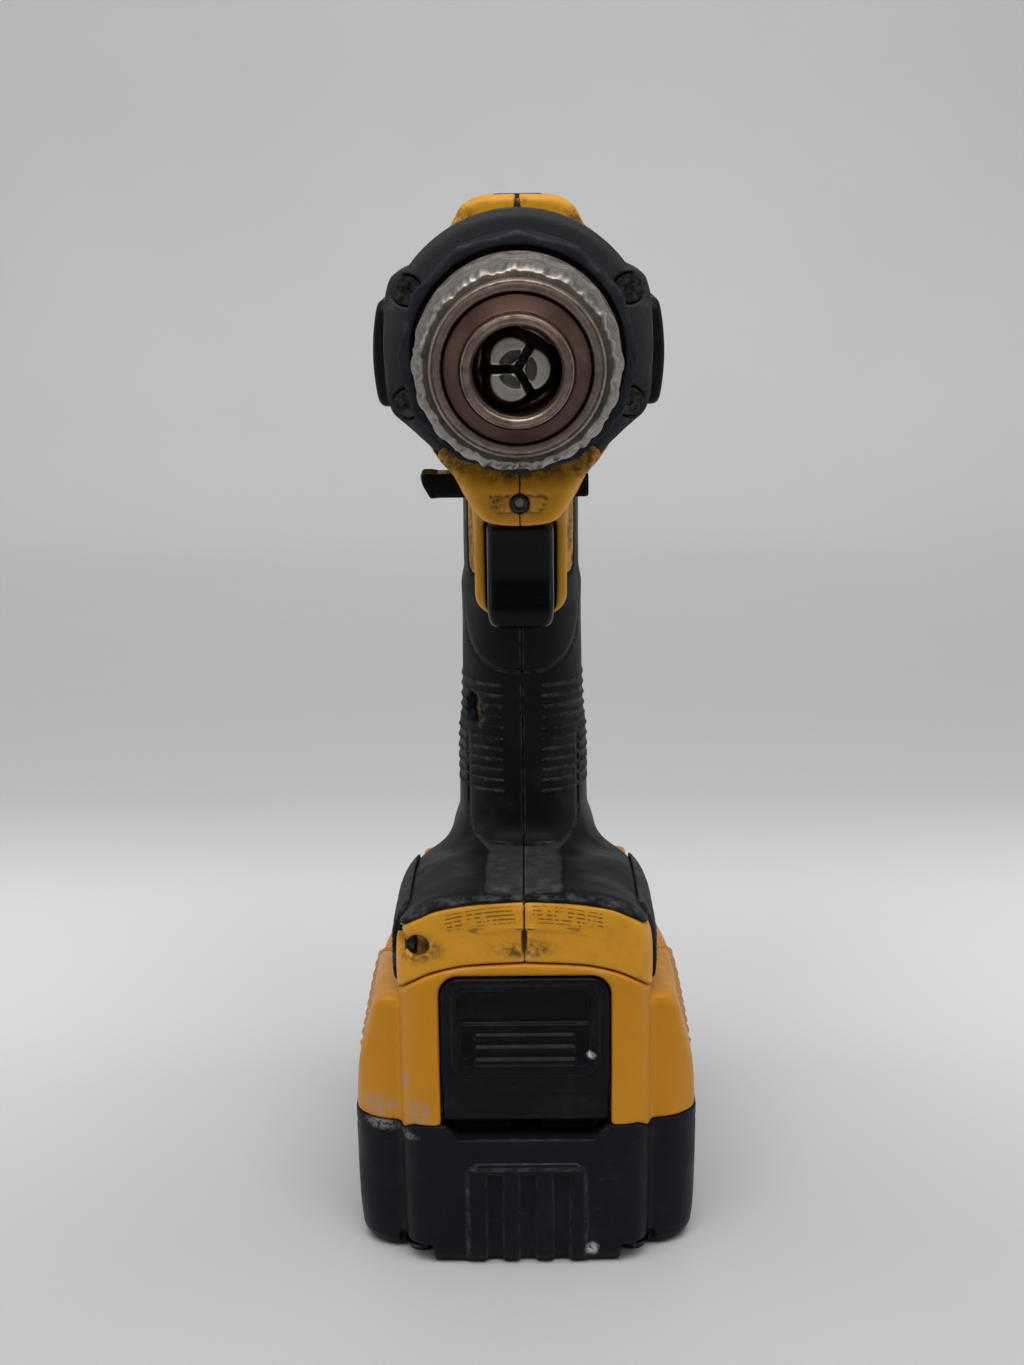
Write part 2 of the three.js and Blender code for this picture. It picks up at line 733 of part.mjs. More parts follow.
// The overmould is the outer skin of the handle and the top of the foot.
const gripZone = join(
  box(-40, 40, -16, 60, GRIP_CAP_BOTTOM, GRIP_TOP),
  box(-40, 40, FOOT_FRONT_Y + 3, 90, GRIP_CAP_BOTTOM, GRIP_TOP - 40),
);
const gripZoneWithGap = join(
  box(-40, 40, -16.3, 60.3, GRIP_CAP_BOTTOM - GAP, GRIP_TOP + GAP),
  box(-40, 40, FOOT_FRONT_Y + 3 - GAP, 90, GRIP_CAP_BOTTOM - GAP, GRIP_TOP - 40),
);
const handleAndFoot = join(loftUp(HANDLE), footArch);
const underGrip = join(loftUp(HANDLE, GRIP_SKIN), common(loftBack(FOOT, GRIP_SKIN), box(-40, 40, -60, 90, 56, 100)));
const insideGrip = join(
  loftUp(HANDLE, GRIP_SKIN + GAP),
  common(loftBack(FOOT, GRIP_SKIN + GAP), box(-40, 40, -60, 90, FOOT_BOTTOM, 100)),
);

// Parting line between the foot and the battery, arched across the front.
const footArchCut = polygon([
  [-40, 50],
  [40, 50],
  [40, 62],
  [29, 64],
  [25, 67],
  [20, 69.6],
  [12, 71.2],
  [0, 71.8],
  [-12, 71.2],
  [-20, 69.6],
  [-25, 67],
  [-29, 64],
  [-40, 62],
]);

const HOUSING_SCREWS = [
  [0.6, 118.2],
  [-37.6, 75.6],
  [66, 182.5],
];
const SCREW_LENGTH = 17;
const SCREW_HEAD_X = [-9.8, -26, -14]; // each head is sunk a few millimetres into the left side
const POST_REACH = [16, 30, 24]; // half length of the post that each screw runs in
const VENT_YS = [66, 71, 76, 81];
const buttonWindow = box(-40, 40, -19.4, -10.6, BUTTON_BOTTOM - GAP, BUTTON_TOP + GAP);

function housingShell() {
  const screwPosts = CASE_SCREWS.map(([x, z]) => onTheAxis(rod(4.4, HOUSING_FRONT_Y, -2, 12).translate(x, 0, z)));
  const full = join(cut(outerShape, gripZoneWithGap), common(insideGrip, gripZoneWithGap), ...screwPosts);
  const motorRoom = onTheAxis(
    turned([
      [0, HOUSING_FRONT_Y - 2],
      [25, HOUSING_FRONT_Y - 2],
      [25, -7.7],
      [23, -7.7],
      [23, 58],
      [24.8, 60],
      [24.8, 76],
      [19, 89],
      [0, 89],
    ]),
  );
  const selectorRoom = join(
    box(-7.3, 7.3, -8.6, 34, 220, HOUSING_TOP - 2.2),
    box(-3.2, 3.2, HOUSING_FRONT_Y - 2, -8, 220, AXIS_HEIGHT + GEAR_CASE_RADIUS - 1),
  );
  const selectorWindow = box(-6.3, 6.3, -1.4, 18.4, 226, 240);
  const switchRoom = box(-8.9, 8.9, -1, 30, 84, 168);
  const triggerSide = TRIGGER_HALF_WIDTH + 0.4;
  const triggerRoom = box(-triggerSide, triggerSide, -60, 0, TRIGGER_BOTTOM - 0.4, TRIGGER_TOP + 0.4);
  const wireway = box(-6, 6, 4, 24, 66, 90);
  const rearWireway = box(-8, 8, 10, 30, 160, 186);
  const ledRoom = rod(2.7, -50, -30, 16).translate(0, 0, LED_HEIGHT);
  const frontClearance = join(
    onTheAxis(rod(GEAR_CASE_RADIUS + 0.6, GEAR_CASE_FRONT_Y - 0.4, HOUSING_FRONT_Y - 0.01, 32)),
    box(-28.6, 28.6, GEAR_CASE_FRONT_Y, HOUSING_FRONT_Y - 0.01, 189, 220.4),
    onTheAxis(rod(COLLAR_RADIUS + 0.8, -80, GEAR_CASE_FRONT_Y, 32)),
  );
  const railRoom = join(
    box(-16.9, 16.9, -60, 62, 40, 66),
    box(-20.4, 20.4, -60, 31, 65, 69.7),
    box(-16.4, 16.4, 20, 60, 65, 69.7),
  );
  const archCut = alongY(footArchCut, -60, FOOT_FRONT_Y + 6.5);
  const screwCasePilots = CASE_SCREWS.map(([x, z]) => onTheAxis(rod(1.9, -20, -6, 12).translate(x, 0, z)));
  const vents = [-1, 1].flatMap((side) =>
    VENT_YS.flatMap((y) => [box(side * 34, side * 18, y, y + 2.4, AXIS_HEIGHT - 12, AXIS_HEIGHT + 9)]),
  );
  const posts = HOUSING_SCREWS.map(([y, z], i) =>
    common(crossRod(4.2, -POST_REACH[i], POST_REACH[i], y, z), outerShape),
  );
  const screwHoles = HOUSING_SCREWS.flatMap(([y, z], i) => [
    crossRod(1.9, -60, SCREW_HEAD_X[i] + SCREW_LENGTH + 0.5, y, z, 12),
    crossRod(3.5, -60, SCREW_HEAD_X[i] + 2.4, y, z, 12),
  ]);
  const hollow = cut(full, motorRoom, switchRoom, wireway, rearWireway, selectorRoom);
  const posted = join(hollow, common(posts[0], insideGrip), common(posts[1], cut(outerShape, gripZoneWithGap)));
  return cut(
    posted,
    triggerRoom,
    ledRoom,
    frontClearance,
    railRoom,
    archCut,
    selectorWindow,
    buttonWindow,
    ...screwCasePilots,
    ...screwHoles,
    ...vents.map((vent) => solid(vent)),
  );
}

function gripShell() {
  const skin = cut(common(handleAndFoot, gripZone), underGrip);
  const screwAccess = HOUSING_SCREWS.map(([y, z]) => crossRod(3.6, -60, -4, y, z, 12));
  return cut(skin, buttonWindow, ...screwAccess);
}

const leftSide = box(-80, -0.15, -120, 120, -10, 260);
const rightSide = box(0.15, 80, -120, 120, -10, 260);
const shell = housingShell();
const grip = gripShell();
piece(drill, "left_housing", common(shell, leftSide), YELLOW);
piece(drill, "right_housing", common(shell, rightSide), YELLOW);
piece(drill, "left_grip", common(grip, leftSide), GRIP);
piece(drill, "right_grip", common(grip, rightSide), GRIP);

// Rubber bumpers that stand proud of the barrel behind the gear case.
const PAD_REACH = 31.5;
function bumper(side) {
  const block = box(side * 20, side * PAD_REACH, -14.2, 46, AXIS_HEIGHT - 14.5, AXIS_HEIGHT + 8.5);
  const barrelRoom = onTheAxis(rod(BARREL_RADIUS + GAP + 0.1, -20, 62, 40));
  const postRoom = CASE_SCREWS.map(([x, z]) => onTheAxis(rod(4.4 + GAP, -20, 0, 12).translate(x, 0, z)));
  const handleRoom = loftUp(HANDLE, -GAP);
  return cut(block, barrelRoom, handleRoom, ...postRoom);
}
piece(drill, "left_bumper", bumper(-1), GRIP);
piece(drill, "right_bumper", bumper(1), GRIP);

const housingScrew = screwShape(3.1, 2, 1.6, SCREW_LENGTH);
HOUSING_SCREWS.forEach(([y, z], i) => {
  const screw = piece(drill, `housing_screw_${i + 1}`, housingScrew, DARK_STEEL);
  screw.rotation.z = -Math.PI / 2;
  screw.position.set(SCREW_HEAD_X[i], y, z);
});

// ---------------------------------------------------------------- controls
function trigger() {
  const side = new THREE.Shape();
  side.moveTo(-9, TRIGGER_BOTTOM);
  side.lineTo(-28, TRIGGER_BOTTOM);
  side.quadraticCurveTo(-35.5, TRIGGER_BOTTOM, -36, TRIGGER_BOTTOM + 4);
  side.quadraticCurveTo(-33.4, (TRIGGER_BOTTOM + TRIGGER_TOP) / 2, TRIGGER_FRONT_Y, TRIGGER_TOP);
  side.lineTo(-9, TRIGGER_TOP);
  side.closePath();
  const width = 2 * TRIGGER_HALF_WIDTH - 2.4;
  const body = new THREE.ExtrudeGeometry(side, {
    depth: width,
    bevelThickness: 1.2,
    bevelSize: 1.2,
    bevelOffset: -1.2,
    bevelSegments: 1,
    curveSegments: 6,
  });
  // The side view is drawn in (y, z), so it turns to stand along X.
  return body.applyMatrix4(
    new THREE.Matrix4().set(0, 0, 1, -width / 2, 1, 0, 0, 0, 0, 1, 0, 0, 0, 0, 0, 1),
  );
}
piece(drill, "trigger", trigger(), GLOSS_BLACK);
piece(
  drill,
  "trigger_spring",
  coil(3, 0.5, 4, 0, 8, 8)
    .rotateX(-Math.PI / 2)
    .translate(0, -8.6, 158),
  SPRING_STEEL,
);
piece(drill, "switch_body", join(box(-8.6, 8.6, -0.2, 26, 139, 166), box(-5, 5, 8, 20, 133, 140)), BLACK);
piece(
  drill,
  "direction_button",
  join(
    box(-21.3, 15, -18.8, -11.2, BUTTON_BOTTOM, BUTTON_TOP),
    box(-21.3, -18.9, -19.2, -10.8, BUTTON_BOTTOM, BUTTON_TOP),
  ),
  BLACK,
);
piece(
  drill,
  "led_lens",
  turned([
    [0, -42.6],
    [1.4, -42.4],
    [2.3, -41],
    [2.3, -36],
    [0, -36],
  ]).translate(0, 0, LED_HEIGHT),
  LENS,
);
piece(
  drill,
  "speed_selector",
  join(
    box(-5.9, 5.9, 4, 18, HOUSING_TOP - 4.4, HOUSING_TOP - 0.2),
    box(-6.9, 6.9, -3, 25, HOUSING_TOP - 4.4, HOUSING_TOP - 2.6),
    box(-2.6, 2.6, FORK_Y - 1, 14, HOUSING_TOP - 5.9, HOUSING_TOP - 4),
    box(-2.6, 2.6, FORK_Y - 1, FORK_Y + 1, AXIS_HEIGHT + CASE_BORE - 1, HOUSING_TOP - 4),
  ),
  BLACK,
);

// ---------------------------------------------------------------- battery terminals in the foot
piece(
  drill,
  "terminal_block",
  join(
    box(-15.6, 15.6, 38, 58, 66.2, 69.4),
    ...[-12, -4, 4, 12].map((x) => box(x - 0.4, x + 0.4, 21, 39, 66.4, 68.8)),
  ),
  BLACK,
);

// ---------------------------------------------------------------- battery pack
const packPlan = (inset) =>
  roundedRectangle(
    -PACK_HALF_WIDTH + inset,
    PACK_HALF_WIDTH - inset,
    PACK_FRONT_Y + inset,
    PACK_BACK_Y - inset,
    11 - inset,
  );
const nosePlan = (inset) =>
  roundedRectangle(-NOSE_HALF_WIDTH + inset, NOSE_HALF_WIDTH - inset, PACK_NOSE_Y + inset, -10, 6 - inset);

// Cross-section of the upper case with its sloping shoulders.
const shoulders = (inset) =>
  polygon([
    [-PACK_HALF_WIDTH + inset, PACK_PARTING - 1],
    [PACK_HALF_WIDTH - inset, PACK_PARTING - 1],
    [PACK_HALF_WIDTH - inset, 37],
    [36.8 - inset, 48],
    [34.4 - inset, 58.6],
    [31.6 - inset, PACK_TOP - inset],
    [-31.6 + inset, PACK_TOP - inset],
    [-34.4 + inset, 58.6],
    [-36.8 + inset, 48],
    [-PACK_HALF_WIDTH + inset, 37],
  ]);
const noseTop = polygon([
  [-NOSE_HALF_WIDTH, 30],
  [NOSE_HALF_WIDTH, 30],
  [NOSE_HALF_WIDTH, 63.8],
  [24.6, 66.2],
  [20, 69],
  [12, 70.7],
  [0, 71.3],
  [-12, 70.7],
  [-20, 69],
  [-24.6, 66.2],
  [-NOSE_HALF_WIDTH, 63.8],
]);
// Wings beside the rail, whose top falls towards the back: the room above them, as it looks from the side.
const RAIL_HALF_WIDTH = 27.2;
const aboveWings = (inset) => {
  const side = polygon([
    [-6, 90],
    [-6, PACK_TOP - inset],
    [0, 59 - inset],
    [20, 52 - inset],
    [38, 46.8 - inset],
    [90, 45.4 - inset],
    [90, 90],
  ]);
  const inner = RAIL_HALF_WIDTH - inset;
  return [alongX(side, -50, -inner), alongX(side, inner, 50)];
};
const CELL_YS = [0, 1, 2, 3, 4].map((k) => -19.8 + k * CELL_PITCH);
const CELL_ZS = [13.4, 32.6];
const BLADE_SLOTS = [-12, -4, 4, 12];
const PACK_SCREW_Y = -33;

function upperCase() {
  const outside = join(
    cut(common(alongZ(packPlan(0), PACK_PARTING + 0.15, PACK_TOP), alongY(shoulders(0), -60, 90)), ...aboveWings(0)),
    common(alongZ(nosePlan(0), PACK_PARTING + 0.15, 72), alongY(noseTop, -60, -36.9)),
    common(alongZ(nosePlan(0), PACK_PARTING + 0.15, PACK_TOP), box(-40, 40, -60, 0, 0, 80)),
    box(-16.5, 16.5, -37, 29, 58, 66),
    box(-20, 20, -37, 29, 65.4, 69.3),
  );
  const inside = cut(
    common(alongZ(packPlan(WALL), PACK_PARTING - 2, PACK_TOP - WALL), alongY(shoulders(WALL), -60, 90)),
    ...aboveWings(WALL),
  );
  const latchWindow = join(
    box(-LATCH_HALF_WIDTH - GAP, LATCH_HALF_WIDTH + GAP, -60, -36.3, 20, LATCH_TOP + GAP),
    box(-9.4, 9.4, -38, -29.6, 30, 60),
  );
  const slots = BLADE_SLOTS.map((x) => box(x - 1, x + 1, 18, 40, 65.8, 69.4));
  return cut(outside, inside, latchWindow, ...slots);
}

function lowerCase() {
  const outside = join(
    loft(
      [
        [0, 4],
        [3, 1],
        [PACK_PARTING - 0.15, 0],
      ].map(([z, inset]) =>
        packPlan(inset)
          .getPoints(4)
          .slice(0, -1)
          .map((p) => [p.x, p.y, z]),
      ),
    ),
    loft(
      [
        [0, 3],
        [3, 1],
        [PACK_PARTING - 0.15, 0],
      ].map(([z, inset]) =>
        nosePlan(inset)
          .getPoints(4)
          .slice(0, -1)
          .map((p) => [p.x, p.y, z]),
      ),
    ),
  );
  const inside = alongZ(packPlan(WALL + 1.4), WALL, PACK_PARTING + 5);
  const latchGap = box(-LATCH_HALF_WIDTH - GAP, LATCH_HALF_WIDTH + GAP, -60, -36.3, 30.2, 40);
  const ribs = [-15, -5, 5, 15].map((x) => box(x - 2.2, x + 2.2, PACK_NOSE_Y - 0.5, PACK_NOSE_Y + 3, 2, 22));
  const springSeat = box(-3.4, 3.4, -36.5, -29.4, 30.2, 40);
  const screwHoles = [-1, 1].flatMap((side) => [
    new THREE.CylinderGeometry(3.2, 3.2, 6, 12).rotateX(Math.PI / 2).translate(side * 24, PACK_SCREW_Y, -1.4),
    new THREE.CylinderGeometry(1.7, 1.7, 11, 12).rotateX(Math.PI / 2).translate(side * 24, PACK_SCREW_Y, 2),
  ]);
  return cut(join(outside, ...ribs), inside, latchGap, springSeat, ...screwHoles);
}

piece(pack, "battery_upper_case", upperCase(), YELLOW);
piece(pack, "battery_lower_case", lowerCase(), BLACK);

function latch() {
  const face = roundedRectangle(-LATCH_HALF_WIDTH, LATCH_HALF_WIDTH, LATCH_BOTTOM, LATCH_TOP, 3.6);
  const plate = alongY(face, PACK_NOSE_Y - 0.6, -37, 5);
  const pocket = alongY(roundedRectangle(-15.4, 15.4, 46.5, 65.6, 2.5), -60, -40.8, 4);
  const ribs = [49.4, 52.2, 55].map((z) => box(-12, 12, -42.2, -40, z, z + 1.1));
  const stem = box(-9, 9, -37.4, -30, 36, 46);
  return join(cut(plate, pocket), ...ribs, stem);
}
piece(pack, "battery_latch", latch(), GLOSS_BLACK);
piece(
  pack,
  "latch_spring",
  coil(2.4, 0.4, 3, 30.4, 35.6, 8).translate(0, -32.6, 0),
  SPRING_STEEL,
);

CELL_YS.forEach((y, i) => {
  const half = CELL_LENGTH / 2;
  const cells = CELL_ZS.map((z) => crossRod(CELL_RADIUS, -half, half, y, z, 20));
  const strips = [-1, 1].map((side) =>
    box(side * (half - 0.1), side * (half + 0.4), y - 4, y + 4, CELL_ZS[0] - 4, CELL_ZS[1] + 4),
  );
  piece(pack, `cell_pair_${i + 1}`, join(...cells, ...strips), CELL_BLUE);
});
piece(pack, "battery_board", box(-24, 24, -26, 60, 50, 51.6), BOARD_GREEN);
for (const side of [-1, 1]) {
  const screw = piece(pack, `battery_screw_${side < 0 ? "left" : "right"}`, screwShape(2.9, 1.2, 1.4, 7), STEEL);
  screw.rotation.x = Math.PI / 2;
  screw.position.set(side * 24, PACK_SCREW_Y, 0.1);
}

export default drill;
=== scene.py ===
# Looks of a cordless drill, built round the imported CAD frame. Shapes are modelled as distance fields in
# millimetres, in the frame's own axes: +Z up, chuck towards -Y, +X to the right of the chuck's front view.
import math

import bpy
import numpy as np
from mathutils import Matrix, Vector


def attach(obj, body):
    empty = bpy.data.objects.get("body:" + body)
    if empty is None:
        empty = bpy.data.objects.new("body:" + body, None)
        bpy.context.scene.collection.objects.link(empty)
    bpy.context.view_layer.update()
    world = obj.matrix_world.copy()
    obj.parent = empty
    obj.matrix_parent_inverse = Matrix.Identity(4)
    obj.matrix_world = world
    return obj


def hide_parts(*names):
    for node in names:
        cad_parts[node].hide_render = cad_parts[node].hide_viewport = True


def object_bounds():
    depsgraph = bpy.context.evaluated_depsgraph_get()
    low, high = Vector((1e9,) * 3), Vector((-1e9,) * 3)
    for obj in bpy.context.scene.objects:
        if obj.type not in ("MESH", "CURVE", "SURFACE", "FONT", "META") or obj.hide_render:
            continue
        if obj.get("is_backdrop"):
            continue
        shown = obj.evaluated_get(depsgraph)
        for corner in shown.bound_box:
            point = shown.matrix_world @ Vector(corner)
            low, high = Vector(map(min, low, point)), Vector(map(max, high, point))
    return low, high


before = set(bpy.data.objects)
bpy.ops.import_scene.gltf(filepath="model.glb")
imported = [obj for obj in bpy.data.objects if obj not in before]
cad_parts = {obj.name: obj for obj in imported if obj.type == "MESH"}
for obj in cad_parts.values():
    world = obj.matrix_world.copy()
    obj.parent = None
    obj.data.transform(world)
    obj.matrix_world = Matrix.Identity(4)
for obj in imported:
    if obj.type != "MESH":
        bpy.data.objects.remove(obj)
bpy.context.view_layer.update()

import openvdb
from mathutils import Matrix, Vector

MM = 0.001
COARSE = 1.0
AXIS = 204.0  # height of the spindle axis
BLOCK = 8


# ------------------------------------------------------------------ numbers
def curve(t, points):
    """A smooth line through (position, value) points, level past its ends."""
    xs, ys = (np.array(c, float) for c in zip(*points))
    slope = np.diff(ys) / np.diff(xs)
    tangent = np.concatenate([[slope[0]], np.zeros(len(xs) - 2), [slope[-1]]])
    both = slope[:-1] * slope[1:] > 0
    total = np.where(both, slope[:-1] + slope[1:], 1)
    tangent[1:-1] = np.where(both, 2 * slope[:-1] * slope[1:] / total, 0)
    fine = np.linspace(xs[0], xs[-1], 300)
    i = np.clip(np.searchsorted(xs, fine) - 1, 0, len(xs) - 2)
    h = xs[i + 1] - xs[i]
    s = (fine - xs[i]) / h
    value = (
        ys[i] * (2 * s**3 - 3 * s**2 + 1)
        + ys[i + 1] * (3 * s**2 - 2 * s**3)
        + h * tangent[i] * (s**3 - 2 * s**2 + s)
        + h * tangent[i + 1] * (s**3 - s**2)
    )
    return np.interp(t, fine, value).astype(np.float32)


def union(a, b, k=0.0):
    """Joins two distances with a fillet of about k."""
    if k == 0:
        return np.minimum(a, b)
    h = np.clip(0.5 + 0.5 * (b - a) / k, 0, 1)
    return b + (a - b) * h - k * h * (1 - h)


def both(a, b, k=0.0):
    return -union(-a, -b, k)


def minus(a, b, k=0.0):
    return both(a, -b, k)


def rect(u, v, u0, u1, v0, v1, r=0.0):
    """Distance to a rectangle with round corners."""
    du = np.abs(u - (u0 + u1) / 2) - ((u1 - u0) / 2 - r)
    dv = np.abs(v - (v0 + v1) / 2) - ((v1 - v0) / 2 - r)
    return np.hypot(np.maximum(du, 0), np.maximum(dv, 0)) + np.minimum(np.maximum(du, dv), 0) - r


def box(x, y, z, x0, x1, y0, y1, z0, z1, r=0.0):
    dx = np.abs(x - (x0 + x1) / 2) - ((x1 - x0) / 2 - r)
    dy = np.abs(y - (y0 + y1) / 2) - ((y1 - y0) / 2 - r)
    dz = np.abs(z - (z0 + z1) / 2) - ((z1 - z0) / 2 - r)
    out = np.sqrt(np.maximum(dx, 0) ** 2 + np.maximum(dy, 0) ** 2 + np.maximum(dz, 0) ** 2)
    return out + np.minimum(np.maximum(np.maximum(dx, dy), dz), 0) - r


def slab(t, t0, t1):
    return np.maximum(t0 - t, t - t1)


def egg(u, v, a, b, n):
    """Distance to a superellipse of half sizes a and b, along the ray from its middle."""
    u, v = np.abs(u) + 0.02, np.abs(v) + 0.02
    k = ((u / a) ** n + (v / b) ** n) ** (1 / n)
    return np.hypot(u, v) * (1 - 1 / np.maximum(k, 1e-3))


def polygon(u, v, corners):
    """Distance to a convex polygon whose corners go anticlockwise."""
    out = None
    for (u0, v0), (u1, v1) in zip(corners, corners[1:] + corners[:1]):
        length = math.hypot(u1 - u0, v1 - v0)
        d = ((u - u0) * (v1 - v0) - (v - v0) * (u1 - u0)) / length
        out = d if out is None else both(out, d, 0.8)
    return out


def step(t, t0, t1):
    s = np.clip((t - t0) / (t1 - t0), 0, 1)
    return s * s * (3 - 2 * s)


def bump(t, width):
    """1 on a line and 0 past its width."""
    return np.clip(1 - (t / width) ** 2, 0, 1) ** 2


def waves(x, y, z, size, seed):
    """Smooth uneven relief between about -1 and 1."""
    rng = np.random.default_rng(seed)
    out = 0
    for _ in range(5):
        d = rng.normal(size=3)
        d *= 2 * math.pi / size / np.linalg.norm(d) * rng.uniform(0.7, 1.5)
        out = out + np.sin(d[0] * x + d[1] * y + d[2] * z + rng.uniform(0, 6.28))
    return out / 3.2


# ------------------------------------------------------------------ meshing
def mesh_object(name, points, faces, attributes=()):
    mesh = bpy.data.meshes.new(name)
    counts = np.concatenate([np.full(len(f), f.shape[1]) for f in faces if len(f)])
    corners = np.concatenate([f.ravel() for f in faces if len(f)])
    mesh.vertices.add(len(points))
    mesh.vertices.foreach_set("co", (points * MM).astype(np.float32).ravel())
    mesh.loops.add(len(corners))
    mesh.loops.foreach_set("vertex_index", corners.astype(np.int32))
    mesh.polygons.add(len(counts))
    mesh.polygons.foreach_set("loop_start", (np.cumsum(counts) - counts).astype(np.int32))
    mesh.polygons.foreach_set("use_smooth", np.ones(len(counts), bool))
    mesh.update(calc_edges=True)
    for key, values in attributes:
        mesh.attributes.new(key, "FLOAT", "POINT").data.foreach_set("value", values.astype(np.float32))
    made = bpy.data.objects.new(name, mesh)
    bpy.context.scene.collection.objects.link(made)
    return made


def solid(name, field, low, high, voxel=0.6, reach=1.4, marks=None):
    """A mesh of the surface where field(x, y, z) is zero, with edge and hollow marks for its material."""
    h = voxel * COARSE
    low, high = np.array(low, float) - 2 * h, np.array(high, float) + 2 * h
    blocks = np.ceil((high - low) / (h * BLOCK)).astype(int) + 1
    centre = [low[k] + (np.arange(blocks[k]) + 0.5) * BLOCK * h - h / 2 for k in range(3)]
    grid = [g.astype(np.float32) for g in np.meshgrid(*centre, indexing="ij")]
    rough = field(*grid)
    near = np.abs(rough) < 2.2 * BLOCK * h
    data = np.where(rough < 0, -3.0, 3.0).astype(np.float32)[..., None, None, None]
    data = np.broadcast_to(data, (*blocks, BLOCK, BLOCK, BLOCK)).copy()
    index = np.argwhere(near)
    local = np.arange(BLOCK)
    for part in np.array_split(index, max(1, len(index) // 1500)):
        at = [
            (low[k] + (part[:, k, None] * BLOCK + local) * h).astype(np.float32) for k in range(3)
        ]
        shape = (len(part), BLOCK, BLOCK, BLOCK)
        x = np.broadcast_to(at[0][:, :, None, None], shape)
        y = np.broadcast_to(at[1][:, None, :, None], shape)
        z = np.broadcast_to(at[2][:, None, None, :], shape)
        data[tuple(part.T)] = np.clip(field(x, y, z), -3, 3)
    full = data.transpose(0, 3, 1, 4, 2, 5).reshape(*(blocks * BLOCK))
    volume = openvdb.FloatGrid(3.0)
    volume.copyFromArray(np.ascontiguousarray(full))
    points, triangles, quads = volume.convertToPolygons(0.0, 0.0)
    p = points.astype(np.float64) * h + low
    normal = None
    for _ in range(3):
        value, normal = gradient(field, p, 0.2 * h)
        size = np.maximum(np.linalg.norm(normal, axis=1), 0.2)
        move = np.clip(value / size, -0.4 * h, 0.4 * h)
        p -= (move / size)[:, None] * normal
    normal /= np.maximum(np.linalg.norm(normal, axis=1), 1e-6)[:, None]
    size = np.maximum(size, 0.3)
    outside = at_points(field, p + reach * normal) / size
    inside = -at_points(field, p - reach * normal) / size
    attributes = [("hollow", np.clip(1 - outside / reach, 0, 1)), ("edge", np.clip(1 - inside / reach, 0, 1))]
    for key, mark in marks or ():
        attributes.append((key, mark(*p.T)))
    faces = [quads, triangles]
    return mesh_object(name, p, faces, attributes)


def at_points(field, p):
    return field(*(np.ascontiguousarray(c, dtype=np.float32) for c in p.T)).astype(np.float64)


def gradient(field, p, e):
    value = at_points(field, p)
    parts = []
    for k in range(3):
        d = np.zeros(3)
        d[k] = e
        parts.append((at_points(field, p + d) - at_points(field, p - d)) / (2 * e))
    return value, np.stack(parts, 1)


# ------------------------------------------------------------------ housing, overmould and foot
SEAM = 0.06  # half of the gap between the two housing halves
SKIN = 2.0  # thickness of the overmould
HANDLE = {
    "half": [
        (70, 20), (86, 16.8), (92, 15.2), (112, 14.8), (116, 14.2), (141, 13.8), (146, 13.9), (151, 13.2),
        (166, 13.2), (180, 17), (200, 26)
    ],
    "front": [(70, -12), (86, -6), (96, -4.6), (128, -6), (143, -8), (152, -12), (166, -14), (180, -14.6)],
    "back": [(70, 46), (86, 39), (96, 36.5), (128, 35), (143, 35.5), (152, 37), (166, 41), (180, 53), (200, 70)],
}
BARREL = [(-14.7, 27.1), (4, 27.6), (62, 27.6), (78, 26.7), (88, 24.7), (92.6, 21.7), (94.4, 18.3), (95, 15)]
FOOT_HALF = [(-43, 27.6), (-38, 28.4), (-8, 28.3), (15, 27), (31, 25), (45, 21.6), (60, 19), (66, 18)]
FOOT_TOP = [
    (-43, 86.2), (-38, 87.2), (-15, 87.2), (0, 85.6), (15, 82.2), (31, 77), (45, 74.4), (60, 72.6), (66, 72)
]
ARCH = [(0, 71.9), (12, 71.3), (20, 69.7), (25, 67.1), (29, 64), (34, 62)]
CAP_EDGE = [(0, 85.6), (10, 85.1), (19, 83.6), (24, 81.2), (27, 79.3), (30, 79)]
CHIN_HALF = [
    (166, 6.6), (167.6, 7.3), (169.4, 8.5), (171.4, 9.9), (174, 11.2), (176.7, 12.7), (180.7, 16.2), (183, 17.4),
    (190, 18.2)
]
CHIN_FRONT = [(166, -42.9), (175, -43), (179, -41.4), (184, -37), (190, -33)]
BEZEL_FRONT = [(141, -12.5), (147, -15.5), (155, -17.2), (162, -20.5), (168, -30)]
CASE_SCREWS = [(-23, 11.6), (23, 11.6), (-23, -11.6), (23, -11.6)]
HANDLE_SCREW = (0.6, 118.2)  # y and z of the screws, driven in from the left side
FOOT_SCREW = (-37.6, 75.6)
BARREL_SCREW = (66, 182.5)
LAMP_Z = 172.3


def radius(x, z):
    return np.hypot(x, z - AXIS)


def handle_shape(x, y, z, inset=0.0):
    half, front, back = (curve(z, HANDLE[k]) for k in ("half", "front", "back"))
    f = egg(x, y - (front + back) / 2, half - inset, (back - front) / 2 - inset, 2.55)
    return both(f, slab(z, 70, 200))


def foot_shape(x, y, z, inset=0.0):
    top = curve(y, FOOT_TOP) - inset
    f = egg(x, z - 70, curve(y, FOOT_HALF) - inset, top - 70, 3.1)
    f = both(f, rect(x, y, -30 + inset, 30 - inset, -43 + inset, 66 - inset, 9.5), 2.2)
    return both(f, 62.2 - z)


def bezel_shape(x, y, z):
    """The yellow rim round the sides and lower corners of the trigger."""
    outer = rect(x, z, -10.2, 10.2, 142.6, 176, 5.6)
    return both(outer, slab(y, curve(z, BEZEL_FRONT), -6), 1.4)


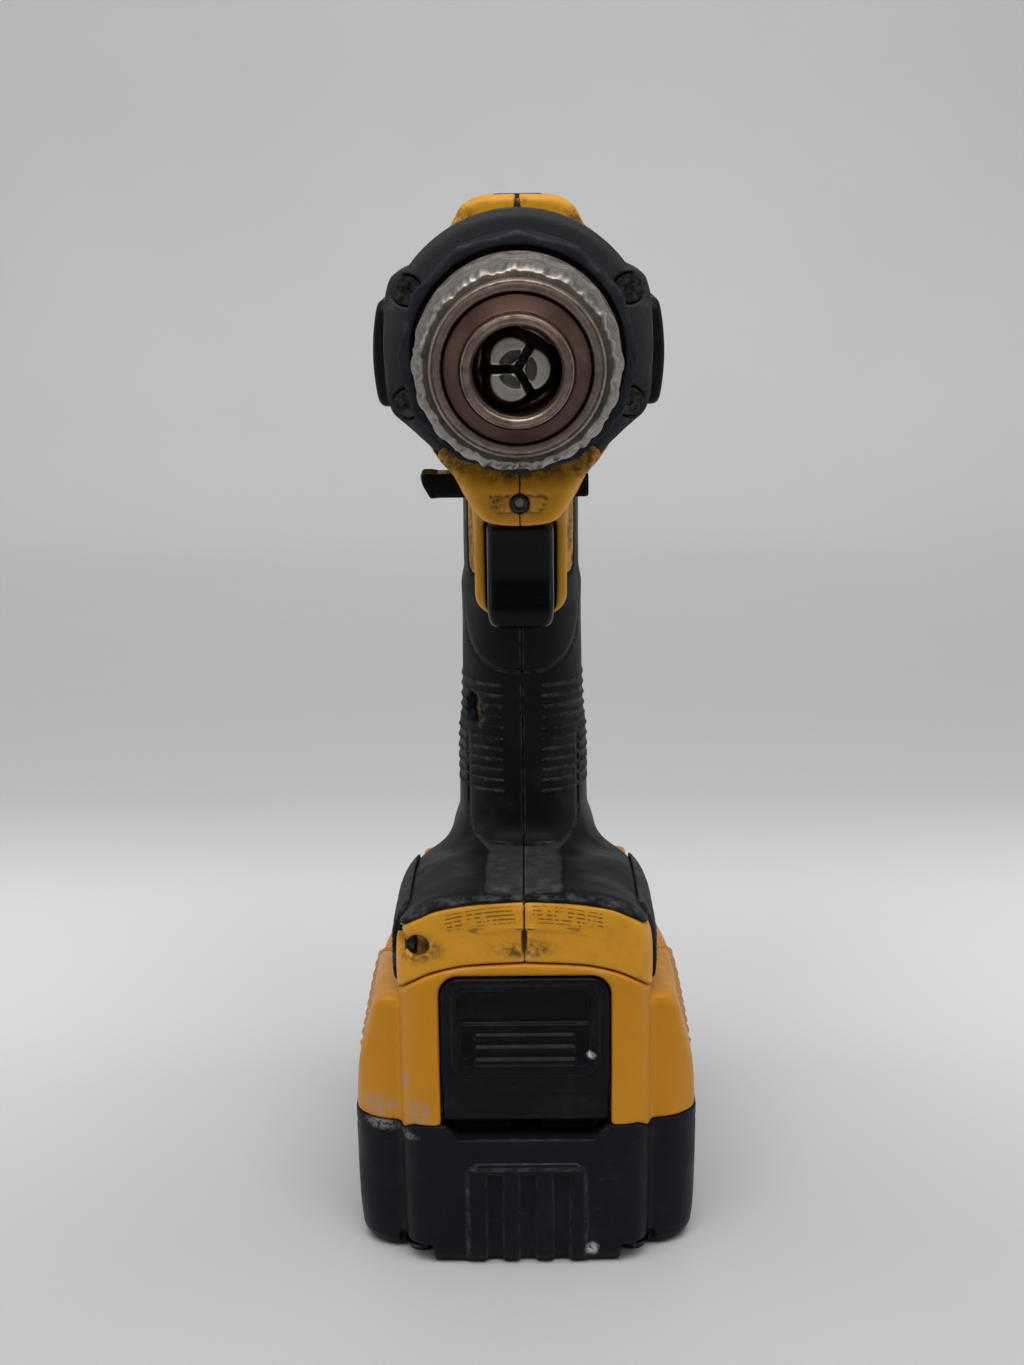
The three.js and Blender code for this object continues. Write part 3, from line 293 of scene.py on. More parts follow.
def chin_shape(x, y, z):
    half = curve(z, CHIN_HALF) + 0.12 * np.maximum(y + 41, 0)
    f = both((np.abs(x) - half) * 0.8, (curve(z, CHIN_FRONT) + 0.012 * x * x - y) * 0.9, 2.4)
    f = both(f, 167.5 + 0.011 * x * x - z, 1.2)
    return both(f, np.maximum(slab(y, -60, -6), z - 200))


def outer_shape(x, y, z, inset=0.0):
    r = radius(x, z)
    barrel = both(r - curve(y, BARREL) + inset, slab(y, -14.7, 95 - inset), 0.8)
    hump = polygon(
        x, z,
        [
            (-15.8, 205), (15.8, 205), (15.4, 222), (14.4, 228), (12.2, 232.4), (8.8, 234.3), (0, 234.8),
            (-8.8, 234.3), (-12.2, 232.4), (-14.4, 228), (-15.4, 222)
        ]
    )
    hump = both(hump + curve(y, [(20, 0), (52, 2.2), (70, 7)]) + inset, slab(y, -14.7, 68), 2.5)
    f = union(barrel, hump, 2.2)
    f = union(f, handle_shape(x, y, z, inset), 7.0)
    f = both(f, -14.7 - y, 0.6)
    foot = foot_shape(x, y, z, inset)
    return union(f, foot, 7.0)


def cap_edge(x, y):
    """Height of the soft cap's lower edge, which leaves only the front of the foot bare."""
    return curve(np.abs(x), CAP_EDGE) - 16 * step(y, -36, -28)


def overmould_zone(x, y, z):
    """Below zero where the soft black skin covers the handle and the top of the foot."""
    upper = union(z - 150.8, both(z - 172, -1.5 - y, 6), 3)
    return both(upper, cap_edge(x, y) - z)


def selector_room(x, y, z):
    f = union(box(x, y, z, -7.3, 7.3, -8.6, 34, 220, 232.5), box(x, y, z, -3.2, 3.2, -18, -8, 220, 231))
    return union(f, box(x, y, z, -6.3, 6.3, -1.4, 18.4, 226, 240, 0.8))


def motor_room(x, y, z):
    inside = [(-16.7, 25), (-7.8, 25), (-7.6, 23), (57.8, 23), (60, 24.8), (76, 24.8), (89, 17)]
    ys, rs = zip(*inside)
    return both(radius(x, z) - np.interp(y, ys, rs).astype(np.float32), slab(y, -16.7, 89))


def controls_room(x, y, z):
    f = box(x, y, z, -8.9, 8.9, -1, 30, 84, 168, 1)
    f = union(f, box(x, y, z, -7.9, 7.9, -60, 0, 143.4, 167.2, 2.2))
    f = union(f, box(x, y, z, -6, 6, 4, 24, 66, 90, 1))
    f = union(f, box(x, y, z, -8, 8, 10, 30, 160, 186, 1))
    f = union(f, box(x, y, z, -40, 40, -19.5, -10.5, 169.6, 175.9, 0.8))
    return union(f, both(np.hypot(x, z - LAMP_Z) - 2.5, slab(y, -41.8, -30)))


def rail_room(x, y, z):
    f = box(x, y, z, -16.9, 16.9, -60, 60, 40, 66)
    f = union(f, box(x, y, z, -20.4, 20.4, -60, 31, 65, 69.7, 0.6))
    f = union(f, box(x, y, z, -16.4, 16.4, 20, 60, 65, 69.7, 0.6))
    return union(f, both(slab(y, -60, -36.5), z - curve(np.abs(x), ARCH)))


def front_room(x, y, z):
    """Room for the gear case and the collar."""
    r = radius(x, z)
    f = both(r - 28.5, slab(y, -34.4, -14.71))
    f = union(f, both(gear_case_outline(x, z) - 0.4, slab(y, -34.4, -14.71)))
    return union(f, both(r - 25, slab(y, -80, -33.8)))


def screw_wells(x, y, z, radius_mm=3.5):
    f = both(np.hypot(y - HANDLE_SCREW[0], z - HANDLE_SCREW[1]) - radius_mm, slab(x, -40, -10.5))
    f = union(f, both(np.hypot(y - FOOT_SCREW[0], z - FOOT_SCREW[1]) - radius_mm, slab(x, -40, -23.4)))
    f = union(f, both(np.hypot(x + 23.1, z - FOOT_SCREW[1]) - 2.5, y + 40.2))
    return union(f, both(np.hypot(y - BARREL_SCREW[0], z - BARREL_SCREW[1]) - radius_mm, slab(x, -40, -11.6)))


def vents(x, y, z):
    near = np.clip(np.round((y - 67.2) / 5.0), 0, 3)
    slot = rect(y - (67.2 + 5 * near), z, -1.25, 1.25, AXIS - 12, AXIS + 9, 1.2)
    return both(slot, 17 - np.abs(x))


def relief_housing(x, y, z):
    """Moulded lines on the yellow shell: more than zero raises the surface."""
    r = radius(x, z)
    lift = -0.5 * bump(y - 58, 0.9) * (r > 20)  # end cap joint
    side = rect(y, z, 48.5, 56.5, AXIS - 13, AXIS + 9, 2)
    lift = lift - 0.35 * bump(side, 0.7) * (np.abs(x) > 20)
    label = rect(np.abs(x), z, -60, 18.6, 79.4, 84.4, 1.5) * (y < -38)
    lift = lift + 0.22 * step(-label, 0, 0.5) * (y < -38)
    ridge = z - (79.6 - 0.0068 * x * x)
    lift = lift + 0.3 * bump(ridge - 0.3 * bump(x, 4), 0.6) * (y < -38) * step(-np.abs(x), -15, -13.4)
    slot = rect(x, z, -0.45, 0.45, 74.2, 79.2, 0.3)
    lift = lift - 0.9 * step(-slot, -0.2, 0.3) * (y < -38)
    panel = np.maximum(np.abs(z - 172.2) - 1.7, np.abs(x) - 4.2 - (z - 170.5) * 0.53)
    return lift - 0.22 * bump(panel, 0.45) * (y < -36) * (z > 168)


def shell_field(x, y, z):
    f = outer_shape(x, y, z)
    f = union(f, chin_shape(x, y, z), 3.0)
    posts = np.minimum.reduce([np.hypot(x - px, z - AXIS - pz) for px, pz in CASE_SCREWS])
    f = union(f, both(both(posts - 4.4, radius(x, z) - 28), slab(y, -14.7, -2), 1.0), 0.6)
    return f - relief_housing(x, y, z)


def housing_half(side):
    def field(x, y, z):
        f = shell_field(x, y, z)
        seam = halves_apart(side, x, f, SEAM + 0.38 * step(z, 228.5, 230) * (y < 50))
        zone = overmould_zone(x, y, z) - 0.12
        f = minus(f, both(zone, -(f + SKIN + 0.2)), 0.25)
        f = union(f, bezel_shape(x, y, z), 0.8)
        for room in (motor_room, controls_room, selector_room, rail_room, front_room, screw_wells, vents):
            f = minus(f, room(x, y, z), 0.5)
        hexagon = np.maximum(np.abs(x), np.abs(x) * 0.5 + np.abs(z - LAMP_Z) * 0.866) - 1.9
        f = minus(f, both(hexagon, y + 30), 0.25)
        return both(f, seam, 0.15)

    return field


def halves_apart(side, x, skin, gap):
    """Distance past the joint between the halves: the left half has a tongue that runs under the right one."""
    if side < 0:
        return union(x + gap, both(x - 1.2, skin + 0.9))
    return minus(gap - x, both(x - 1.35, skin + 0.75))


def relief_grip(x, y, z):
    across = np.abs(x)
    row = (z - 99.5) / 2.54
    near = np.clip(np.round(row), 0, 10)
    rib = bump((row - near) * 2.54, 0.5) * step(across, 4.0, 4.6) * step(-y, -14, -11)
    lift = 0.46 * rib
    u = ((across / 13.3) ** 2.7 + (np.maximum(143.4 - z, 0) / 15.2) ** 2.7) ** (1 / 2.7)
    lift = lift - 0.55 * bump((u - 1) * 13, 0.55) * (y < 4) * (z < 143.4)
    lift = lift + 0.2 * step((1 - u) * 13, 0, 1.0) * (y < 4) * (z < 150)
    panel = rect(x, z, -12.6, 12.6, 87.4, 131, 5.5)
    lift = lift - 0.45 * bump(panel, 0.5) * (y < 6) * (z < 113)
    lip = z - cap_edge(x, y)
    return lift + 0.35 * bump(lip - 0.9, 1.0) * (y < 62) * (z < 90)


def grip_half(side):
    def field(x, y, z):
        f = outer_shape(x, y, z) - 0.12 - relief_grip(x, y, z)
        f = f - 0.05 * waves(x, y, z, 9, 4)
        skin = minus(f, outer_shape(x, y, z) + SKIN, 0)
        skin = both(skin, overmould_zone(x, y, z) + 0.12, 0.5)
        skin = minus(skin, bezel_shape(x, y, z) - 0.15, 0.3)
        skin = minus(skin, controls_room(x, y, z) - 0.1, 0.3)
        skin = minus(skin, rail_room(x, y, z))
        teardrop = np.hypot(y - HANDLE_SCREW[0], (z - HANDLE_SCREW[1]) * np.where(z > 118.2, 0.72, 1)) - 3.0
        skin = minus(skin, both(teardrop, x + 4), 0.6)
        return both(skin, SEAM - side * x, 0.12)

    return field


def side_pad(side):
    """Ribbed rubber pad on one side of the foot."""

    def field(x, y, z):
        foot = foot_shape(x, y, z)
        face = rect(y, z, -33, 18, 63.4, 82.4, 3.5)
        teeth = 0.32 * np.sin(2 * math.pi * z / 1.2) * step(-rect(y, z, -31, 16, 64.6, 81.4, 3), 0, 0.8)
        f = both(foot - 1.0 - teeth, face, 0.7)
        f = minus(f, foot - 0.05)
        return both(f, 25.2 - side * x, 0.4)

    return field


def bumper_field(side):
    def field(x, y, z):
        out = side * x
        face = 31.7 - 0.010 * (z - 201) ** 2 - 0.0016 * np.maximum(y - 8, 0) ** 2
        row = (y - 2) / 5.2
        near = np.clip(np.round(row), 0, 7)
        groove = 0.7 * bump((row - near) * 5.2, 0.9) * step(-np.abs(z - 201), -9.8, -8.6)
        f = both(out - face + groove, rect(y, z, -14.2, 46, 189.4, 212.6, 3.2), 1.6)
        f = minus(f, radius(x, z) - 27.95)
        f = minus(f, handle_shape(x, y, z) - 0.2)
        posts = np.minimum.reduce([np.hypot(x - px, z - AXIS - pz) for px, pz in CASE_SCREWS])
        return minus(f, both(posts - 4.7, slab(y, -20, 0)))

    return field


def bezel_ring(x, y, z):
    """Black ring round the work lamp."""
    r = np.hypot(x, z - LAMP_Z)
    return minus(both(r - 1.75, slab(y, -43.3, -41.7), 0.2), r - 1.05, 0.15)


# ------------------------------------------------------------------ gear case
def gear_case_outline(x, z):
    right = [(13.6, -24.2), (24.4, -16.2), (26.6, -14.2), (28, -9.5), (28, 9.5), (26.6, 14.2), (24, 16)]
    corners = [(px, AXIS + pz) for px, pz in right] + [(-px, AXIS + pz) for px, pz in right[::-1]]
    return polygon(x, z, corners)


def gear_case_field(x, y, z):
    r = radius(x, z)
    round_part = r - curve(y, [(-33.8, 26.8), (-32, 28), (-15, 28)])
    ears = both(gear_case_outline(x, z), slab(y, -31.6, -15), 1.2)
    f = union(both(round_part, slab(y, -33.8, -15), 0.8), ears, 1.0)
    pads = box(np.abs(x), y, z, 20, 27.4, -33.3, -28, 195.2, 212.2, 0.6)
    f = union(f, pads, 0.3)
    posts = np.minimum.reduce([np.hypot(x - px, z - AXIS - pz) for px, pz in CASE_SCREWS])
    f = union(f, both(r - 15.8, slab(y, -50.2, -30)))
    f = union(f, both(r - 24.6, slab(y, -16, -8)))
    f = minus(f, both(posts - 3.4, slab(y, -60, -31.4)), 0.4)
    f = minus(f, both(posts - 1.9, slab(y, -60, -5)))
    f = minus(f, both(r - 21.4, slab(y, -31.8, 0)))
    f = minus(f, both(r - 13.3, slab(y, -60, -41.8)))
    f = minus(f, r - 9.2)
    f = minus(f, box(x, y, z, -3.2, 3.2, -30.6, -7, 222, 231))
    return f - 0.015 * waves(x, y, z, 1.3, 8)


# ------------------------------------------------------------------ chuck and collar
def turned_angle(x, z):
    return np.arctan2(z - AXIS, x)


def collar_field(x, y, z):
    r, a = radius(x, z), turned_angle(x, z)
    facet = 1 / np.cos((a % (math.pi / 6)) - math.pi / 12) - 1  # more than zero towards each of 12 corners
    grip = step(y, -57.4, -55.4) * step(-y, 36.4, 38.4)
    wall = 23.95 - (1.05 - 30 * facet) * (0.3 + 0.7 * grip)
    worn = 0.10 * np.sin(17 * a + 1.3) + 0.08 * np.sin(29 * a + 4) + 0.06 * np.sin(53 * a)
    wall = wall + worn * bump(y + 56.4, 2.4)
    wall = wall - 0.5 * bump(y + 39.4, 0.8) - 0.35 * bump(y + 54.2, 0.7)
    f = both(r - wall, slab(y, -57 + 0.15 * np.sin(9 * a), -34.2), 0.9)
    bore = np.where(y < -50.5, 21.4, np.where(y < -48, 16.1, 19.8)).astype(np.float32)
    return minus(f, r - bore, 0.5)


def sleeve_field(x, y, z):
    r, a = radius(x, z), turned_angle(x, z)
    profile = curve(y, [(-88.6, 15.7), (-88.2, 16.2), (-87.2, 16.55), (-86.6, 16.6)])
    ring = curve(
        y,
        [
            (-86.3, 16.9), (-85.9, 17.9), (-84.6, 18.8), (-82.5, 19.4), (-79, 20.2), (-60, 20.4), (-57.5, 20.2),
            (-53.2, 19.9)
        ]
    )
    ragged = 0.22 * np.sin(13 * a + 0.7) + 0.2 * np.sin(23 * a + 2)
    ragged = ragged + 0.12 * np.sin(41 * a + 5) + 0.1 * np.sin(67 * a + y)
    ring = ring + ragged * bump(y + 84.5, 3.0) * 1.2
    knurl = np.maximum(0, np.cos(18 * a)) ** 0.6
    ring = ring - (0.1 + 0.4 * (1 - knurl)) * step(y, -83.5, -81.5) * step(-y, 59.5, 61.5)
    ring = ring - 0.6 * bump(y + 79.2, 0.7) - 0.4 * bump(y + 58.2, 0.6)
    wall = np.where(y < -86.45, profile, ring)
    wall = wall - 0.55 * bump(y + 86.5, 0.35)
    f = both(r - wall, slab(y, -88.6, -53.2), 0.5)
    bore = np.where(y < -80.3, 14.1, np.where(y < -74, 15.8, 19.3)).astype(np.float32)
    return minus(f, r - bore, 0.2)


def jaw_axis(k):
    a = math.radians(120 * k)
    return math.cos(a), math.sin(a)


def jaw_distance(x, y, z, k, reach, extra):
    """Distance to the tilted bar of jaw k."""
    c, s = jaw_axis(k)
    u, v = x * c + (z - AXIS) * s, -x * s + (z - AXIS) * c
    tilt = math.radians(20)
    centre = 1.95 + (y + 89.5) * math.tan(tilt)
    return np.hypot((u - centre) * math.cos(tilt), v) - reach - extra


def chuck_field(x, y, z):
    r = radius(x, z)
    profile = [
        (-95, 9.9), (-94.7, 10.2), (-94.2, 10.35), (-93.4, 10.4), (-93.1, 10.7), (-89.6, 13.4), (-89.2, 13.6),
        (-80.3, 13.7)
    ]
    wall = curve(y, profile)
    wall = wall - 0.25 * bump(y + 93.25, 0.3)
    ys, rs = (-80.35, -80.3, -74.7, -74.6, -54.15, -54.1), (13.8, 9.0, 11.2, 15.2, 15.2, 19)
    wall = np.where(y > -80.3, np.interp(y, ys, rs).astype(np.float32), wall)
    f = both(r - wall, slab(y, -95, -52.6), 0.35)
    mouth = curve(y, [(-95, 8.75), (-94.4, 8.45), (-93.2, 8.2), (-84, 8.2)])
    for k in range(3):
        f = minus(f, both(jaw_distance(x, y, z, k, 4.0, 0.3), y + 54.2), 0.1)
    f = minus(f, both(r - mouth, y + 84), 0.3)
    f = minus(f, both(r - 6.8, slab(y, -86, -73)))
    f = minus(f, both(r - 3.9, slab(y, -86, -70.5)))
    f = minus(f, both(r - 3.3, slab(y, -86, -60)))
    return minus(f, both(r - 6.3, slab(y, -66, -40)))


def jaw_dish(x, y, z, k):
    """A lens-shaped hollow in the front of jaw k, which leaves a bright rim outside it."""
    c, s = jaw_axis(k)
    u, v = x * c + (z - AXIS) * s, -x * s + (z - AXIS) * c
    return both(np.maximum(np.hypot(u - 0.2, v) - 3.3, np.hypot(u - 4.2, v) - 2.7), y + 88.3)


def jaw_field(k):
    c, s = jaw_axis(k)

    def field(x, y, z):
        u, v = x * c + (z - AXIS) * s, -x * s + (z - AXIS) * c
        f = jaw_distance(x, y, z, k, 4.0, 0.0)
        wedge = 0.8 - (u * math.sin(math.pi / 3) - np.abs(v) * 0.5)
        f = both(f, wedge, 0.25)
        f = both(f, slab(y, -89.5, -70), 0.35)
        return minus(f, jaw_dish(x, y, z, k), 0.25)

    return field


# ------------------------------------------------------------------ controls
def trigger_field(x, y, z):
    front = curve(z, [(143.6, -33.4), (145, -35.6), (148, -36.4), (155, -35.4), (162, -36.4), (166.6, -38.0)])
    half = curve(z, [(143.6, 4.9), (144.6, 6.3), (147, 7.0), (150, 7.1), (166.7, 7.1)])
    f = both(np.abs(x) - half, front + 0.018 * x * x - y, 2.6)
    f = both(f, slab(z, 143.8, 166.7), 1.4)
    return both(f, y + 9)


def button_field(x, y, z):
    bar = box(x, y, z, -21.3, 15, -18.9, -11.1, 170.1, 175.4, 0.7)
    head = box(x, y, z, -21.4, -18.9, -19.2, -10.8, 170, 175.5, 0.6)
    ribs = 0.25 * bump((y + 15) - 2.2 * np.clip(np.round((y + 15) / 2.2), -1, 1), 0.6) * (x < -18)
    return both(union(bar, head, 0.4) - ribs, (-20.2 - x) * 0.87 + (171.2 - z) * 0.5, 0.4)


def selector_field(x, y, z):
    top = box(x, y, z, -5.9, 5.9, 4, 18, 230.3, 234.6, 1.0)
    row = (y - 11) / 2.6
    ribs = bump((row - np.clip(np.round(row), -2, 2)) * 2.6, 0.8) * (np.abs(x) < 4.6)
    top = top + 0.5 * ribs * (z > 232)
    f = union(top, box(x, y, z, -6.9, 6.9, -3, 25, 230.3, 232.1, 0.4), 0.4)
    f = union(f, box(x, y, z, -2.6, 2.6, -22.8, 14, 228.8, 230.7, 0.3))
    return union(f, box(x, y, z, -2.6, 2.6, -22.8, -20.8, 224.4, 230.7, 0.3))


# ------------------------------------------------------------------ battery pack
SHOULDER = [(30, 38.85), (37, 38.65), (42.4, 38.0), (48, 36.9), (54.5, 35.1), (58.6, 34.0), (61.6, 32.2)]
LOWER_INSET = [(0, 4.0), (1.2, 2.2), (3.5, 1.0), (12, 0.35), (30, 0.0)]
WING_TOP = [(-10, 62.6), (-4, 60.6), (0, 59), (20, 52), (38, 46.8), (80, 45.4)]
BAR_GAPS = [(-9.2, -5.0), (-1.9, 2.4), (5.7, 9.9)]


PACK_HALF_WIDTH = 38.85
RAIL_TOP = 61.6  # top of the rail that slides into the foot
PACK_WALL = 2.4


def parting(x):
    return 32.1 + 1.7 * step(-np.abs(x), -27.4, -24.5)


def pack_shape(x, y, inset=0.0):
    wings = rect(x, y, -PACK_HALF_WIDTH + inset, PACK_HALF_WIDTH - inset, -36 + inset, 76 - inset, 10.5)
    nose = rect(x, y, -27.7 + inset, 27.7 - inset, -43.4 + inset, -10, 6.5)
    return wings, nose


def upper_field(x, y, z):
    wings, nose = pack_shape(x, y)
    half = curve(z, SHOULDER) - 4.0 * step(y, 15, 74) * step(z, 33, 44)
    wings = both(wings, (np.abs(x) - half) * 0.96, 1.5)
    # The wings fall towards the back, and the rail stands up between them.
    wings = both(wings, np.minimum((z - curve(y, WING_TOP)) * 0.94, np.abs(x) - 27.2), 1.2)
    f = union(wings, nose, 2.6)
    wall = both(both(nose, slab(y, -60, -36.9)), z - curve(np.abs(x), [(k, v - 0.5) for k, v in ARCH]), 0.8)
    f = union(both(f, z - RAIL_TOP, 2.4), wall, 0.3)
    # short slanting ribs on the shoulders
    row = (z + 0.55 * (y + 30)) / 3.3
    rib = bump((row - np.round(row)) * 3.3, 0.8) * step(-rect(y, z, -24, 34, 43.5, 57, 2), 0, 0.8)
    f = f - 0.45 * rib * (np.abs(x) > 30)
    f = both(f, parting(x) + 0.12 - z, 0.5)
    inner_wings, _ = pack_shape(x, y, PACK_WALL)
    inner = both(both(inner_wings, np.abs(x) - half + PACK_WALL), z - 59.2)
    inner = both(inner, np.minimum(np.abs(x) - 24.8, z - curve(y, WING_TOP) + 2.4))
    f = minus(f, inner)
    window = rect(x, z, -18.9, 18.9, 20, 68.75, 4.4)
    f = minus(f, both(window, slab(y, -60, -36.3)), 0.7)
    f = minus(f, box(x, y, z, -9.4, 9.4, -38, -29.6, 30, 60))
    rail = union(box(x, y, z, -16.5, 16.5, -37, 29, 58, 66, 0.3), box(x, y, z, -20, 20, -37, 29, 65.4, 69.3, 0.8))
    f = union(f, rail, 0.3)
    slots = np.minimum.reduce([np.abs(x - s) for s in (-12, -4, 4, 12)]) - 1
    return minus(f, both(slots, both(slab(y, 18, 40), 65.8 - z)), 0.3)


def lower_field(x, y, z):
    inset = curve(z, LOWER_INSET)
    wings, nose = pack_shape(x, y)
    f = union(wings + inset, nose + 0.8 * inset, 2.6)
    panel = rect(x, z, -13.6, 13.6, -8, 24.8, 3.2)
    raised = -0.7 * step(-panel, -0.1, 0.35) * (y < -38)
    gap = np.minimum.reduce([np.maximum(a - x, x - b) for a, b in BAR_GAPS])
    gap = np.maximum(gap, slab(z, -5, 22.4))
    raised = raised + 1.3 * step(-gap, -0.1, 0.7) * (y < -38)
    edge = np.maximum(np.abs(x) - 12.9, slab(z, -5, 23.4))
    raised = raised + 0.5 * bump(edge, 0.5) * (y < -38)
    band = 0.3 * bump(z - 28.3, 0.7)
    f = f + raised + band * (y > -30)
    f = both(f, slab(z, 0.0, parting(x) - 0.12), 0.6)
    inner, _ = pack_shape(x, y, 3.8)
    f = minus(f, both(inner, 2.4 - z))
    half = 15.2 + (z - 30.4) * 0.95
    f = minus(f, both(both(np.abs(x) - np.minimum(half, 18.9), slab(y, -60, -36.3)), 30.3 - z), 0.5)
    f = minus(f, box(x, y, z, -3.4, 3.4, -36.5, -29.4, 30.2, 40))
    notch = box(np.abs(x), y, z, 20.9, 29, -60, -33.6, -5, 4.6, 1.0)
    f = minus(f, notch, 0.6)
    well = np.hypot(np.abs(x) - 24, y + 33) - 3.3
    f = minus(f, both(well, z - 3.0), 0.4)
    feet = box(np.abs(x), np.abs(y - 20), z, 22, 30, 30, 46, -0.0, 1, 0.4)
    return union(f, feet, 0.4)


def latch_field(x, y, z):
    face = rect(x, z, -18.5, 18.5, 30, 68.4, 4.4)
    rim = -43.9
    pocket = rect(x, z, -15.0, 15.0, 47.2, 65.6, 2.6)
    inside = step(-pocket, 0.0, 1.0)
    depth = curve(z, [(47.2, 0.15), (48.4, 0.5), (54.5, 2.2), (56.6, 2.5), (57.2, 3.3), (58.2, 3.5), (65.6, 3.2)])
    front = rim + inside * depth
    for zc in (48.9, 51.5, 54.1):
        rib = rect(x, z, -11, 11, zc - 0.55, zc + 0.55, 0.5)
        front = front - 0.55 * step(-rib, -0.35, 0.2)
    soft = rect(x, z, -16.2, 16.2, 46, 66.8, 3.4)
    front = front + 0.3 * bump(soft, 0.5)
    bands = curve(z, [(34.6, 1.9), (41.1, 1.15), (41.5, 0.75), (44.4, 0.35), (44.8, 0.0)])
    front = front + bands
    f = both(face, (front - y) * 0.9, 0.9)
    f = both(f, slab(z, 34.6, 80), 0.5)
    f = both(f, y + 37)
    return union(f, box(x, y, z, -9, 9, -37.4, -30, 36, 46, 0.5))


# ------------------------------------------------------------------ materials
class Paint:
    """Builds one procedural material, node by node."""

    def __init__(self, name, **sockets):
        self.material = bpy.data.materials.new(name)
        self.material.use_nodes = True
        self.tree = self.material.node_tree
        self.shader = self.tree.nodes["Principled BSDF"]
        for key, value in sockets.items():
            self.shader.inputs[key.replace("_", " ")].default_value = value
        self.place = self.node("ShaderNodeTexCoord").outputs["Object"]

    def node(self, kind, inputs=(), **settings):
        made = self.tree.nodes.new(kind)
        for key, value in settings.items():
            setattr(made, key, value)
        for key, value in dict(inputs).items():
            if isinstance(value, bpy.types.NodeSocket):
                self.tree.links.new(value, made.inputs[key])
            else:
                made.inputs[key].default_value = value
        return made

    def noise(self, size_mm, detail=3.0, rough=0.55, stretch=(1, 1, 1), offset=(0, 0, 0)):
        moved = self.node("ShaderNodeMapping", {"Vector": self.place, "Scale": stretch, "Location": offset})
        inputs = {"Vector": moved.outputs[0], "Scale": 1000 / size_mm, "Detail": detail, "Roughness": rough}
        return self.node("ShaderNodeTexNoise", inputs).outputs["Fac"]

    def mark(self, name):
        return self.node("ShaderNodeAttribute", attribute_name=name).outputs["Fac"]

    def math(self, operation, a, b=0.0):
        return self.node("ShaderNodeMath", {0: a, 1: b}, operation=operation).outputs[0]

    def plus(self, a, b):
        return self.math("ADD", a, b)

    def times(self, a, b):
        return self.math("MULTIPLY", a, b)

    def within(self, value, low, high, to=(0.0, 1.0)):
        """Smoothly from to[0] to to[1] as value goes from low to high."""
        inputs = {"Value": value, "From Min": low, "From Max": high, "To Min": to[0], "To Max": to[1]}
        return self.node("ShaderNodeMapRange", inputs, interpolation_type="SMOOTHSTEP").outputs[0]

    def near(self, at_mm, size_mm):
        """1 at a point and 0 past an ellipsoid round it."""
        scale = [1000 / s for s in size_mm]
        location = [-a / s for a, s in zip(at_mm, size_mm)]
        moved = self.node("ShaderNodeMapping", {"Vector": self.place, "Scale": scale, "Location": location})
        far = self.node("ShaderNodeVectorMath", {0: moved.outputs[0]}, operation="LENGTH").outputs["Value"]
        return self.within(far, 1.0, 0.35)

    def axis(self, which):
        return self.node("ShaderNodeSeparateXYZ", {0: self.place}).outputs[which]

    def mix(self, share, a, b):
        made = self.node("ShaderNodeMix", data_type="RGBA")
        for key, value in ((0, share), (6, a), (7, b)):
            if isinstance(value, bpy.types.NodeSocket):
                self.tree.links.new(value, made.inputs[key])
            else:
                made.inputs[key].default_value = value if key == 0 else (*value, 1)
        return made.outputs[2]

    def finish(self, color, roughness=None, bumps=()):
        self.tree.links.new(color, self.shader.inputs["Base Color"])
        if roughness is not None:
            self.tree.links.new(roughness, self.shader.inputs["Roughness"])
        normal = None
        for height, depth_mm in bumps:
            inputs = {"Height": height, "Strength": 1.0, "Distance": depth_mm * MM}
            if normal is not None:
                inputs["Normal"] = normal
            normal = self.node("ShaderNodeBump", inputs).outputs[0]
        if normal is not None:
            self.tree.links.new(normal, self.shader.inputs["Normal"])
        return self.material


# near-black for soot and grime, and for the painted shade inside holes and slots
SOOT_AND_SHADE = (0.018, 0.014, 0.011)


def printed_label(p):
    """Rows of broken strokes on the label under the handle: a label with no words."""
    across = p.math("ABSOLUTE", p.axis(0))
    drop = p.times(p.times(across, across), 6.8)
    height = p.plus(p.axis(2), drop)
    rows = p.within(p.math("SINE", p.times(height, 2 * math.pi / (0.95 * MM))), 0.1, 0.5)
    strokes = p.within(p.noise(1.5, 2, 0.6, (1, 0.1, 0.35)), 0.44, 0.5)
    sides = p.times(p.within(across, 1.8 * MM, 2.0 * MM), p.within(across, 17.2 * MM, 17.0 * MM))
    ends = p.times(p.within(height, 80.9 * MM, 81.0 * MM), p.within(height, 84.9 * MM, 84.7 * MM))
    return p.times(p.times(rows, strokes), p.times(sides, p.times(ends, p.within(p.axis(1), -0.04, -0.041))))


